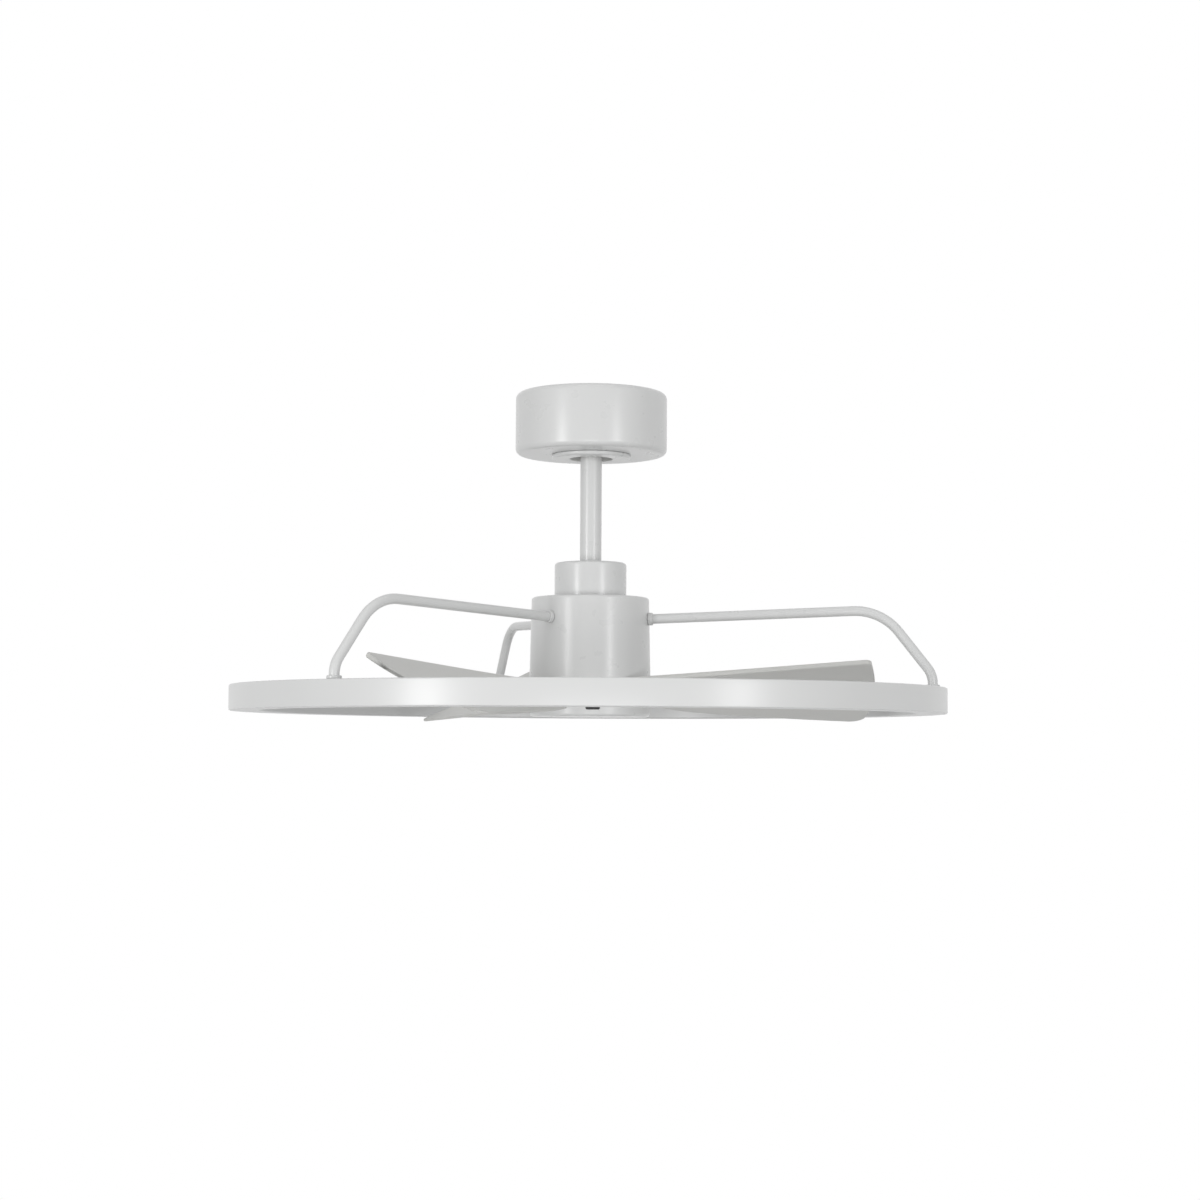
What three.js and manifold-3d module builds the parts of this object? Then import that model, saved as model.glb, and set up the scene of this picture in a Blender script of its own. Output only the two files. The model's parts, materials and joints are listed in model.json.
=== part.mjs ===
// A ceiling fan whose three blades turn inside a still, softly three-lobed ring on three bent bars.
// Millimetres, +Z up. The origin is the middle of the face that meets the ceiling, so the fan hangs
// below it. Azimuths are counter-clockwise from +X; -Y is the side with the receiver window.
import * as THREE from "three";
import { mergeVertices } from "three/addons/utils/BufferGeometryUtils.js";
import Module from "manifold-3d";

const wasm = await Module();
wasm.setup();

// Clearances
const GAP = 0.3; // between two pieces that touch
const SEAM = 1.6; // between the turning hub and the still covers above and below it
const PAST = 1; // how far a cut runs past the face it opens, and a joined piece into its neighbour

// Canopy, the cover against the ceiling
const CANOPY_RADIUS = 84.6;
const CANOPY_HEIGHT = 68.8;
const CANOPY_WALL = 1.5;
const CANOPY_EDGE = 6.5; // rounding of both rims
const CANOPY_LIP = 7.2; // how far the upper rim turns in
const SWING_ROOM = 12; // around the downrod where it leaves the canopy
const TRIM_WIDTH = 20; // of the ring that hides the canopy screws
const TRIM_HEIGHT = 4.35;
const CANOPY_SCREW_SHANK = 2;
const CANOPY_SCREW_HEAD = 3.8;
const CANOPY_SCREW_END = 3; // above the bracket's floor
const TRIM_EDGE = 1.6; // bevel of the trim ring's outer edge
const TRIM_BORE_EDGE = 1; // and of its inner one
const HEAD_ROOM = 1; // around a screw's head in the trim ring's hollow

// Hanging bracket, ball and the liner between them
const BRACKET_PLATE = 2.5;
const BRACKET_LENGTH = 140;
const BRACKET_WIDTH = 40;
const BRACKET_SLOT = 58; // from the middle to each ceiling screw's slot
const SLOT_HALF_WIDTH = 2.6;
const SLOT_HALF_LENGTH = 6;
const TAB_HALF_WIDTH = 12; // of the two tabs that take the canopy screws
const TAB_END = 2.4; // tab left past each screw
const SCREW_WALL = 1.4; // between a canopy screw and the seat
const LEG_ROOM = 3; // between the seat and the bracket's legs
const FLOOR_RING = 6; // how far the floor's round part reaches inside the seat
const SEAT_WALL = 2.2;
const LINER_WALL = 2;
const BALL_RADIUS = 28;
const BALL_LIFT = 19.6; // ball's middle above the bracket's floor
const BALL_TOP = 18; // flat on top, above the ball's middle
const BALL_BOTTOM = 22; // flat below, under the ball's middle
const LINER_TOP = 6; // liner's edges, under the ball's middle
const LINER_BOTTOM = 17;
const SEAT_TOP = 9; // seat's edge, under the ball's middle
const HANGER_PIN_RADIUS = 3;
const HANGER_PIN_LENGTH = 46;
const RECEIVER_SIZE = [60, 34, 13];
const TERMINAL_SIZE = [20, 26, 14];
const TERMINAL_ROOM = 3; // between the terminal block and the bracket's leg

// Downrod, the coupling below it and its cover
const ROD_RADIUS = 12;
const ROD_WALL = 2.5;
const ROD_DROP = 121.2; // from the canopy to the coupling cover
const ROD_TOP = 13; // rod's end above the ball's middle
const ROD_REACH = 26; // rod's end below the top of the cover
const LEAD_RADIUS = 3;
const LEAD_REACH = 41; // of the lead down the shaft
const LEAD_ROOM = 2; // between the lead's end and the coupling pin
const GROMMET_HEIGHT = 4;
const COVER_RADIUS = 40;
const COVER_HEIGHT = 38.7;
const COVER_WALL = 1.8;
const COVER_EDGE = 3.6;
const YOKE_RADIUS = 17;
const YOKE_FLANGE_RADIUS = 30;
const YOKE_FLANGE_HEIGHT = 4;
const YOKE_INSET = 3.4; // yoke's top below the top of the cover
const YOKE_FILLET = 2; // where the yoke's neck meets its flange
const SHAFT_INSET = 2.8; // shaft's end below the rod's
const COUPLING_PIN_DROP = 15; // below the top of the cover
const COUPLING_PIN_END = 3; // past the yoke on each side
const SET_SCREW_DROP = 21.5;
const SET_SCREW_RADIUS = 2.4;
const SET_SCREW_LENGTH = 8;

// Motor housing and the motor in it
const HOUSING_TOP_RADIUS = 65.3;
const HOUSING_BOTTOM_RADIUS = 67.3;
const HOUSING_HEIGHT = 92.8;
const HOUSING_WALL = 2;
const HOUSING_EDGE = 3;
const CARRIER_PLATE = 6; // disc under the housing's top that holds the three bars
const SHAFT_RADIUS = 8;
const SHAFT_BORE = 5;
const ROTOR_RADIUS = 52;
const ROTOR_WALL = 3;
const ROTOR_DROP = 36.4; // rotor's top below the housing's top
const ROTOR_STEP = 1; // lower bearing's floor below the rotor's floor
const HUB_FLOOR = 1; // hub under the lower bearing
const BEARING_WIDTH = 8;
const BEARING_HEIGHT = 9;
const BEARING_WALL = 5; // rotor's wall round a bearing
const MAGNET_WIDTH = 5.5;
const MAGNET_OVERHANG = 3; // above and below the laminations
const AIR_GAP = 0.8;
const STATOR_ROOM = 10.2; // from the lower bearing up to the laminations
const STATOR_SLOTS = 9;
const STATOR_YOKE = 11; // lamination left inside the slots
const STATOR_RIM = 6; // lamination left outside them
const SLOT_WIDTH = 8;
const WINDING_RISE = 3; // of the end turns above and below the laminations
const WINDING_ROOM = 1; // between the winding and its slots' ends

// Hub, blades and the still cap under them
const HUB_RADIUS = 66;
const HUB_HEIGHT = 21.4;
const HUB_DISC = 4.2;
const HUB_RIM = 4;
const HUB_NECK = 44; // radius where the hub leaves the housing
const HUB_OPENING = 20;
const HUB_THROAT = 14; // radius of the hole the shaft passes through
const BLADE_SCREW_COVER = 1; // hub left above a blade screw's hole
const BLADE_COUNT = 3;
const BLADE_AZIMUTH = 223.1; // of the first blade's leading edge
const BLADE_RADIUS = 314.5;
const BLADE_ROOT_RADIUS = 71;
const BLADE_NOSE = 6; // thickness at the leading edge
const BLADE_TAIL = 3; // thickness towards the tip
const EDGE_SHARE = 0.35; // thickness left at both edges, as a share of the middle's
const LEAD_ROOT_SWEEP = 46.6; // how far the leading edge starts ahead of its tip
const LEAD_ROOT_RISE = 2.4; // leading edge above the hub's top, at the root
const LEAD_TIP_RISE = 22.2; // and at the tip
const TAIL_ROOT_DROP = 23.3; // trailing edge below the hub's top, at the root
const TAIL_TIP_DROP = 40.9; // and at the tip
const TAIL_ROOT_REACH = 10; // trailing edge behind the line of the leading edge's tip
const TAIL_TIP_REACH = 148;
const TAIL_BOW = 0.54; // power of the way along at which the trailing edge gains on its root
const BLADE_HOLLOW = 4.4; // how far a section's middle is pulled down, at the tip
const LEAD_CORNER = 6; // rounding of the tip's corners
const TAIL_CORNER = 16;
const TONGUE_WIDTH = 32; // flat foot of a blade, screwed under the hub
const TONGUE_THICK = 5;
const TONGUE_INNER = 30;
const TONGUE_OUTER = 92;
const TONGUE_SHIFT = -24; // its middle, towards the trailing edge
const BLADE_SCREW_SPREAD = 18;
const BLADE_SCREW_CIRCLE = 44;
const BLADE_SCREW_SHANK = 2;
const BLADE_SCREW_HEAD = 4;
const BLADE_SCREW_HEIGHT = 2.4;
const CAP_RADIUS = 66.2;
const CAP_HEIGHT = 14.8;
const CAP_WALL = 2;
const CAP_EDGE = 3;
const PLATE_THICK = 2.5;
const PLATE_INSET = 2.4; // plate's top below the cap's rim
const NUT_RADIUS = 12;
const NUT_HEIGHT = 5;
const SHAFT_STUB = 1.4; // shaft's end below its nut
const CAP_SCREW_COUNT = 3;
const CAP_SCREW_CIRCLE = 46;
const CAP_BOSS_RADIUS = 5.2;
const CAP_SCREW_SHANK = 1.8;
const CAP_SCREW_HEAD = 3.8;
const WINDOW_AZIMUTH = 272.7;
const WINDOW_WIDTH = 15.6;
const WINDOW_TOP = 2; // below the cap's rim
const WINDOW_HEIGHT = 5.6;
const WINDOW_INSET = 0.2; // window's face from the outside of the cap
const BOARD_SIZE = [20, 1.6, 5];
const BOARD_INSET = 7; // from the outside of the cap

// Ring and the three bars that hold it
const RING_RADIUS = 391; // mean outer radius
const RING_LOBE = 7.8; // how far the outside swells and draws in around it
const RING_LOBES = 3;
const LOBE_AZIMUTH = 85;
const RING_WIDTH = 32;
const RING_HEIGHT = 27.6;
const RING_EDGE = 1.5; // rounding of its four edges
const RING_DROP = 100.7; // ring's top below the housing's top
const ARM_COUNT = 3;
const ARM_AZIMUTH = 228;
const ARM_RADIUS = 5.4;
const ARM_DROP = 24; // bar's middle below the housing's top, where it leaves the housing
const ARM_SLOPE = 1.85; // degrees above level on the way out
const ARM_INNER = 42; // radius where the bar ends inside the motor housing
const KNEE_RADIUS = 322.8; // where the bar's outer leg would cross its inner run
const KNEE_BEND = 60;
const ANKLE_RISE = 14.6; // above the ring, where the leg turns straight down
const ANKLE_BEND = 28;
const FOOT_DEPTH = 12; // of the bar's end in the ring
const FOOT_COLLAR_WALL = 2;
const FOOT_COLLAR_HEIGHT = 3.6;
const ARM_COLLAR_WALL = 1.7;
const ARM_COLLAR_LENGTH = 4.5;
const BOSS_WALL = 4;
const BOSS_INNER = 34;
const BORE_END = 20; // how far an arm's bore runs past the housing
const RING_SCREW_SHANK = 2;
const RING_SCREW_HEAD = 4.2;
const RING_SCREW_RECESS = 4;
const RING_SCREW_END = 2; // below the ring's top
const SCREW_HEAD_HEIGHT = 2.4;

// Facets
const WIDE_SIDES = 38;
const MID_SIDES = 26;
const SMALL_SIDES = 14;
const SCREW_SIDES = 8;
const NUT_SIDES = 6;
const RING_STEPS = 78;
const BLADE_STEPS = 11; // even steps along a blade, before its rounded tip
const TIP_STEPS = 5;
const CHORD_STEPS = 8;
const BALL_STEPS = 8;
const SEAT_STEPS = 5;
const LINER_STEPS = 4;
const KNEE_STEPS = 9;
const ANKLE_STEPS = 4;

// Heights that follow from the sizes above
const canopyBottom = -CANOPY_HEIGHT;
const floorBottom = canopyBottom + CANOPY_WALL + GAP;
const floorTop = floorBottom + BRACKET_PLATE;
const ballMiddle = floorTop + BALL_LIFT;
const coverTop = canopyBottom - ROD_DROP;
const coverBottom = coverTop - COVER_HEIGHT;
const housingTop = coverBottom - GAP;
const housingBottom = housingTop - HOUSING_HEIGHT;
const carrierTop = housingTop - HOUSING_WALL - GAP;
const armMiddle = housingTop - ARM_DROP;
const rotorTop = housingTop - ROTOR_DROP;
const hubTop = housingBottom - SEAM;
const hubBottom = hubTop - HUB_HEIGHT;
const discBottom = hubTop - HUB_DISC;
const rotorFloorTop = housingBottom + SEAM + ROTOR_WALL + ROTOR_STEP;
const lowerBearingBottom = rotorFloorTop - ROTOR_WALL - ROTOR_STEP;
const capTop = hubBottom - SEAM;
const capBottom = capTop - CAP_HEIGHT;
const plateTop = capTop - PLATE_INSET;
const plateBottom = plateTop - PLATE_THICK;
const nutTop = plateBottom - GAP;
const nutBottom = nutTop - NUT_HEIGHT;
const ringTop = housingTop - RING_DROP;
const ringBottom = ringTop - RING_HEIGHT;
const bearingRadius = SHAFT_RADIUS + GAP + BEARING_WIDTH;
const bearingSeat = bearingRadius + GAP;
const magnetOuter = ROTOR_RADIUS - ROTOR_WALL - GAP;
const statorRadius = magnetOuter - MAGNET_WIDTH - AIR_GAP;
const seatSphere = BALL_RADIUS + GAP + LINER_WALL + GAP;
const legInner = seatSphere + SEAT_WALL + LEG_ROOM;
const screwCircle = seatSphere + SEAT_WALL + GAP + CANOPY_SCREW_SHANK + SCREW_WALL;
const canopyHole = ROD_RADIUS + SWING_ROOM;
const trimOuter = canopyHole + TRIM_WIDTH;

const turns = (count) => [...Array(count).keys()];
const radians = THREE.MathUtils.degToRad;
const at = (radius, z) => new THREE.Vector2(radius, z);

// Booleans: each takes geometries and gives one back.
function solid(geometry) {
  const bare = geometry.clone();
  bare.deleteAttribute("normal");
  bare.deleteAttribute("uv");
  const merged = mergeVertices(bare, 1e-3);
  return new wasm.Manifold(
    new wasm.Mesh({
      numProp: 3,
      vertProperties: merged.attributes.position.array,
      triVerts: new Uint32Array(merged.index.array),
    }),
  );
}

function geometryOf(manifold) {
  const mesh = manifold.getMesh();
  return new THREE.BufferGeometry()
    .setAttribute("position", new THREE.BufferAttribute(mesh.vertProperties, 3))
    .setIndex(new THREE.BufferAttribute(mesh.triVerts, 1));
}

function cut(geometry, ...tools) {
  return geometryOf(tools.reduce((rest, tool) => rest.subtract(solid(tool)), solid(geometry)));
}

function join(geometry, ...others) {
  return geometryOf(others.reduce((sum, other) => sum.add(solid(other)), solid(geometry)));
}

function common(geometry, other) {
  return geometryOf(solid(geometry).intersect(solid(other)));
}

// Shapes
function lathe(profile, sides) {
  const area = profile.reduce((sum, p, i) => sum + p.cross(profile[(i + 1) % profile.length]), 0);
  const loop = area > 0 ? [...profile] : [...profile].reverse();
  return new THREE.LatheGeometry([...loop, loop[0].clone()], sides).rotateX(Math.PI / 2);
}

function sleeve(inner, outer, bottom, top, sides) {
  return lathe([at(inner, bottom), at(outer, bottom), at(outer, top), at(inner, top)], sides);
}

function post(radius, bottom, top, x, y, sides = SCREW_SIDES) {
  return new THREE.CylinderGeometry(radius, radius, top - bottom, sides)
    .rotateX(Math.PI / 2)
    .translate(x, y, (top + bottom) / 2);
}

// A round bar from one point to another.
function bar(radius, from, to, sides = SCREW_SIDES) {
  const along = to.clone().sub(from);
  const turn = new THREE.Quaternion().setFromUnitVectors(
    new THREE.Vector3(0, 1, 0),
    along.clone().normalize(),
  );
  const middle = from.clone().add(to).multiplyScalar(0.5);
  return new THREE.CylinderGeometry(radius, radius, along.length(), sides)
    .applyQuaternion(turn)
    .translate(middle.x, middle.y, middle.z);
}

function box([x0, x1], [y0, y1], [z0, z1]) {
  return new THREE.BoxGeometry(x1 - x0, y1 - y0, z1 - z0).translate(
    (x0 + x1) / 2,
    (y0 + y1) / 2,
    (z0 + z1) / 2,
  );
}

// A quarter round between two directions, in degrees, as points of a profile.
function arc(radius, z, size, from, to, steps = 3) {
  return turns(steps + 1).map((i) => {
    const angle = radians(from + ((to - from) * i) / steps);
    return at(radius + size * Math.cos(angle), z + size * Math.sin(angle));
  });
}

// A closed skin through rings of points. Open ends are capped by strips across the ring.
function loft(rings, closed) {
  const count = rings[0].length;
  const index = [];
  turns(closed ? rings.length : rings.length - 1).forEach((i) => {
    const here = i * count;
    const next = ((i + 1) % rings.length) * count;
    turns(count).forEach((j) => {
      const k = (j + 1) % count;
      index.push(here + j, next + k, here + k, here + j, next + j, next + k);
    });
  });
  if (!closed) {
    const last = (rings.length - 1) * count;
    turns(count / 2 - 1).forEach((j) => {
      const [a, b, c, d] = [j, j + 1, count - 2 - j, count - 1 - j];
      index.push(a, b, c, a, c, d);
      index.push(last + a, last + c, last + b, last + a, last + d, last + c);
    });
  }
  return new THREE.BufferGeometry()
    .setAttribute(
      "position",
      new THREE.Float32BufferAttribute(rings.flat().flatMap((p) => p.toArray()), 3),
    )
    .setIndex(index);
}

function around(geometry, azimuth) {
  return geometry.rotateZ(radians(azimuth));
}

// A screw whose head is below its shank.
function risingScrew(head, shank, headBottom, headHeight, tip, x, y) {
  return join(
    post(head, headBottom, headBottom + headHeight, x, y),
    post(shank, headBottom + headHeight / 2, tip, x, y),
  );
}

// Finishes
const finish = (color, roughness, metalness) => () =>
  new THREE.MeshStandardMaterial({ color, roughness, metalness, flatShading: true });
const whitePaint = finish("#dcdddc", 0.42, 0);
const bladePlastic = finish("#d3d2cc", 0.5, 0);
const zinc = finish("#a9abad", 0.35, 0.9);
const steel = finish("#8b8d90", 0.3, 1);
const nylon = finish("#cfcabb", 0.55, 0);
const darkPlastic = finish("#1c1d20", 0.35, 0);
const copper = finish("#b0683a", 0.4, 0.9);
const board = finish("#2c5a3c", 0.5, 0);
const rubber = finish("#2a2a2c", 0.8, 0);
const ferrite = finish("#3b3c3f", 0.6, 0);

const fan = new THREE.Group();
function add(name, material, geometry) {
  const mesh = new THREE.Mesh(geometry, material());
  mesh.name = name;
  fan.add(mesh);
}

// Bracket, with the ball's seat formed in its floor
function bracket() {
  const legOuter = legInner + BRACKET_PLATE;
  const slot = (side) =>
    box(
      [side * BRACKET_SLOT - SLOT_HALF_WIDTH, side * BRACKET_SLOT + SLOT_HALF_WIDTH],
      [-SLOT_HALF_LENGTH, SLOT_HALF_LENGTH],
      [-BRACKET_PLATE - PAST, PAST],
    );
  const leg = (side) =>
    box(
      side > 0 ? [legInner, legOuter] : [-legOuter, -legInner],
      [-BRACKET_WIDTH / 2, BRACKET_WIDTH / 2],
      [floorBottom, 0],
    );
  const half = BRACKET_LENGTH / 2;
  const plate = box([-half, half], [-BRACKET_WIDTH / 2, BRACKET_WIDTH / 2], [-BRACKET_PLATE, 0]);
  const tab = screwCircle + CANOPY_SCREW_SHANK + TAB_END;
  const floor = join(
    box([-legOuter, legOuter], [-BRACKET_WIDTH / 2, BRACKET_WIDTH / 2], [floorBottom, floorTop]),
    box([-TAB_HALF_WIDTH, TAB_HALF_WIDTH], [-tab, tab], [floorBottom, floorTop]),
    sleeve(seatSphere - FLOOR_RING, seatSphere + SEAT_WALL, floorBottom, floorTop, MID_SIDES),
  );
  const reach = (depth) => Math.sqrt(seatSphere ** 2 - depth ** 2);
  const lowest = BALL_LIFT + BRACKET_PLATE;
  const bowl = turns(SEAT_STEPS + 1).map((i) => {
    const depth = lowest + ((SEAT_TOP - lowest) * i) / SEAT_STEPS;
    return at(reach(depth), ballMiddle - depth);
  });
  const seat = lathe(
    [
      ...bowl,
      at(seatSphere + SEAT_WALL, ballMiddle - SEAT_TOP),
      at(seatSphere + SEAT_WALL, floorBottom),
    ],
    MID_SIDES,
  );
  const below = post(
    seatSphere - FLOOR_RING / 2,
    floorBottom - PAST,
    floorTop + PAST,
    0,
    0,
    MID_SIDES,
  );
  return cut(
    join(cut(join(plate, leg(1), leg(-1), floor), below), seat),
    slot(1),
    slot(-1),
    post(CANOPY_SCREW_SHANK + GAP, floorBottom - PAST, floorTop + PAST, 0, screwCircle),
    post(CANOPY_SCREW_SHANK + GAP, floorBottom - PAST, floorTop + PAST, 0, -screwCircle),
  );
}

function canopy() {
  const outer = CANOPY_RADIUS - CANOPY_EDGE;
  const inner = CANOPY_EDGE - CANOPY_WALL;
  const shell = lathe(
    [
      at(canopyHole, canopyBottom),
      ...arc(outer, canopyBottom + CANOPY_EDGE, CANOPY_EDGE, -90, 0),
      ...arc(outer, -CANOPY_EDGE, CANOPY_EDGE, 0, 90),
      at(CANOPY_RADIUS - CANOPY_LIP, 0),
      at(CANOPY_RADIUS - CANOPY_LIP, -CANOPY_WALL),
      ...arc(outer, -CANOPY_EDGE, inner, 90, 0, 2),
      ...arc(outer, canopyBottom + CANOPY_EDGE, inner, 0, -90, 2),
      at(canopyHole, canopyBottom + CANOPY_WALL),
    ],
    WIDE_SIDES,
  );
  const hole = (side) =>
    post(
      CANOPY_SCREW_SHANK + GAP,
      canopyBottom - PAST,
      canopyBottom + CANOPY_WALL + PAST,
      0,
      side * screwCircle,
    );
  return cut(shell, hole(1), hole(-1));
}

// Ring that hides the two canopy screws, hollow above for their heads
function trimRing() {
  const top = canopyBottom - GAP;
  const bottom = top - TRIM_HEIGHT;
  const hollow = top - SCREW_HEAD_HEIGHT - 2 * GAP;
  const room = CANOPY_SCREW_HEAD + HEAD_ROOM;
  return lathe(
    [
      at(canopyHole, bottom + TRIM_BORE_EDGE),
      at(canopyHole + TRIM_BORE_EDGE, bottom),
      at(trimOuter - TRIM_EDGE, bottom),
      at(trimOuter, bottom + TRIM_EDGE),
      at(trimOuter, top),
      at(screwCircle + room, top),
      at(screwCircle + room, hollow),
      at(screwCircle - room, hollow),
      at(screwCircle - room, top),
      at(canopyHole, top),
    ],
    MID_SIDES,
  );
}

function ball() {
  const bore = ROD_RADIUS + GAP;
  const from = Math.asin(-BALL_BOTTOM / BALL_RADIUS);
  const to = Math.asin(BALL_TOP / BALL_RADIUS);
  const sphere = turns(BALL_STEPS + 1).map((i) => {
    const angle = from + ((to - from) * i) / BALL_STEPS;
    return at(BALL_RADIUS * Math.cos(angle), ballMiddle + BALL_RADIUS * Math.sin(angle));
  });
  const shape = lathe(
    [at(bore, ballMiddle - BALL_BOTTOM), ...sphere, at(bore, ballMiddle + BALL_TOP)],
    MID_SIDES,
  );
  return cut(shape, crossBar(HANGER_PIN_RADIUS + GAP, 2 * BALL_RADIUS, ballMiddle));
}

// A bar through the axis, along Y.
function crossBar(radius, length, z) {
  return bar(
    radius,
    new THREE.Vector3(0, -length / 2, z),
    new THREE.Vector3(0, length / 2, z),
    SCREW_SIDES,
  );
}

function liner() {
  const zone = (size) =>
    turns(LINER_STEPS + 1).map((i) => {
      const depth = LINER_BOTTOM + ((LINER_TOP - LINER_BOTTOM) * i) / LINER_STEPS;
      return at(Math.sqrt(size ** 2 - depth ** 2), ballMiddle - depth);
    });
  const inner = BALL_RADIUS + GAP;
  return lathe([...zone(inner + LINER_WALL), ...zone(inner).reverse()], MID_SIDES);
}

add("mounting_bracket", zinc, bracket());
add("canopy", whitePaint, canopy());
add("canopy_trim_ring", whitePaint, trimRing());
[1, -1].forEach((side, i) =>
  add(
    `canopy_screw_${i + 1}`,
    zinc,
    risingScrew(
      CANOPY_SCREW_HEAD,
      CANOPY_SCREW_SHANK,
      canopyBottom - GAP - SCREW_HEAD_HEIGHT,
      SCREW_HEAD_HEIGHT,
      floorTop + CANOPY_SCREW_END,
      0,
      side * screwCircle,
    ),
  ),
);
const underPlate = -BRACKET_PLATE - GAP;
add(
  "receiver_module",
  nylon,
  box(
    [-RECEIVER_SIZE[0] / 2, RECEIVER_SIZE[0] / 2],
    [-RECEIVER_SIZE[1] / 2, RECEIVER_SIZE[1] / 2],
    [underPlate - RECEIVER_SIZE[2], underPlate],
  ),
);
const terminalStart = legInner + BRACKET_PLATE + TERMINAL_ROOM;
add(
  "terminal_block",
  nylon,
  box(
    [-terminalStart - TERMINAL_SIZE[0], -terminalStart],
    [-TERMINAL_SIZE[1] / 2, TERMINAL_SIZE[1] / 2],
    [underPlate - TERMINAL_SIZE[2], underPlate],
  ),
);
add("ball_seat_liner", nylon, liner());
add("hanger_ball", nylon, ball());
add("hanger_pin", steel, crossBar(HANGER_PIN_RADIUS, HANGER_PIN_LENGTH, ballMiddle));

// Downrod and coupling
const rodBore = ROD_RADIUS - ROD_WALL;
const rodBottom = coverTop - ROD_REACH;
const pinHeight = coverTop - COUPLING_PIN_DROP;
const setScrewHeight = coverTop - SET_SCREW_DROP;
const yokeTop = coverTop - YOKE_INSET;
const yokeBottom = coverBottom;
const shaftTop = rodBottom - SHAFT_INSET;

add(
  "downrod",
  whitePaint,
  cut(
    sleeve(rodBore, ROD_RADIUS, rodBottom, ballMiddle + ROD_TOP, MID_SIDES),
    crossBar(HANGER_PIN_RADIUS + GAP, 4 * ROD_RADIUS, ballMiddle),
    crossBar(HANGER_PIN_RADIUS + GAP, 4 * ROD_RADIUS, pinHeight),
  ),
);

// The lead's lower end, from under the coupling pin into the hollow shaft.
add(
  "motor_lead",
  rubber,
  post(LEAD_RADIUS, shaftTop - LEAD_REACH, pinHeight - HANGER_PIN_RADIUS - LEAD_ROOM, 0, 0),
);
add(
  "lead_grommet",
  rubber,
  sleeve(
    LEAD_RADIUS + GAP,
    SHAFT_BORE - GAP,
    shaftTop - PAST - GROMMET_HEIGHT,
    shaftTop - PAST,
    SCREW_SIDES,
  ),
);

function yoke() {
  const bore = ROD_RADIUS + GAP;
  const shaftSocket = SHAFT_RADIUS + GAP;
  const shape = lathe(
    [
      at(shaftSocket, yokeBottom),
      at(YOKE_FLANGE_RADIUS, yokeBottom),
      at(YOKE_FLANGE_RADIUS, yokeBottom + YOKE_FLANGE_HEIGHT),
      at(YOKE_RADIUS + YOKE_FILLET, yokeBottom + YOKE_FLANGE_HEIGHT),
      at(YOKE_RADIUS, yokeBottom + YOKE_FLANGE_HEIGHT + YOKE_FILLET),
      at(YOKE_RADIUS, yokeTop),
      at(bore, yokeTop),
      at(bore, rodBottom - GAP),
      at(shaftSocket, rodBottom - GAP),
    ],
    MID_SIDES,
  );
  const setScrewHole = bar(
    SET_SCREW_RADIUS + GAP,
    new THREE.Vector3(-2 * YOKE_RADIUS, 0, setScrewHeight),
    new THREE.Vector3(2 * YOKE_RADIUS, 0, setScrewHeight),
  );
  return cut(shape, crossBar(HANGER_PIN_RADIUS + GAP, 4 * YOKE_RADIUS, pinHeight), setScrewHole);
}
add("motor_yoke", zinc, yoke());
add("coupling_pin", steel, crossBar(HANGER_PIN_RADIUS, 2 * (YOKE_RADIUS + COUPLING_PIN_END), pinHeight));
[1, -1].forEach((side, i) =>
  add(
    `yoke_set_screw_${i + 1}`,
    steel,
    bar(
      SET_SCREW_RADIUS,
      new THREE.Vector3(side * (ROD_RADIUS + GAP), 0, setScrewHeight),
      new THREE.Vector3(side * (ROD_RADIUS + GAP + SET_SCREW_LENGTH), 0, setScrewHeight),
    ),
  ),
);

function couplingCover() {
  const edge = COVER_RADIUS - COVER_EDGE;
  return lathe(
    [
      at(COVER_RADIUS - COVER_WALL, coverBottom),
      at(COVER_RADIUS, coverBottom),
      ...arc(edge, coverTop - COVER_EDGE, COVER_EDGE, 0, 90),
      at(ROD_RADIUS + GAP, coverTop),
      at(ROD_RADIUS + GAP, coverTop - COVER_WALL),
      ...arc(edge, coverTop - COVER_EDGE, COVER_EDGE - COVER_WALL, 90, 0, 1),
    ],
    WIDE_SIDES,
  );
}
add("coupling_cover", whitePaint, couplingCover());

// Bars: root, knee and foot in the plane through the axis, with rounded bends
const armAzimuths = turns(ARM_COUNT).map((i) => ARM_AZIMUTH + (i * 360) / ARM_COUNT);
const ringOuter = (azimuth) =>
  RING_RADIUS + RING_LOBE * Math.cos(RING_LOBES * radians(azimuth - LOBE_AZIMUTH));
const footRadius = ringOuter(ARM_AZIMUTH) - RING_WIDTH / 2;
const armSlope = Math.tan(radians(ARM_SLOPE));
const housingRadius = (z) =>
  HOUSING_TOP_RADIUS +
  ((HOUSING_BOTTOM_RADIUS - HOUSING_TOP_RADIUS) * (housingTop - z)) / HOUSING_HEIGHT;
const armStart = housingRadius(armMiddle);
const armHeight = (radius) => armMiddle + (radius - armStart) * armSlope;
const onArm = (radius) => new THREE.Vector3(radius, 0, armHeight(radius));

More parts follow.
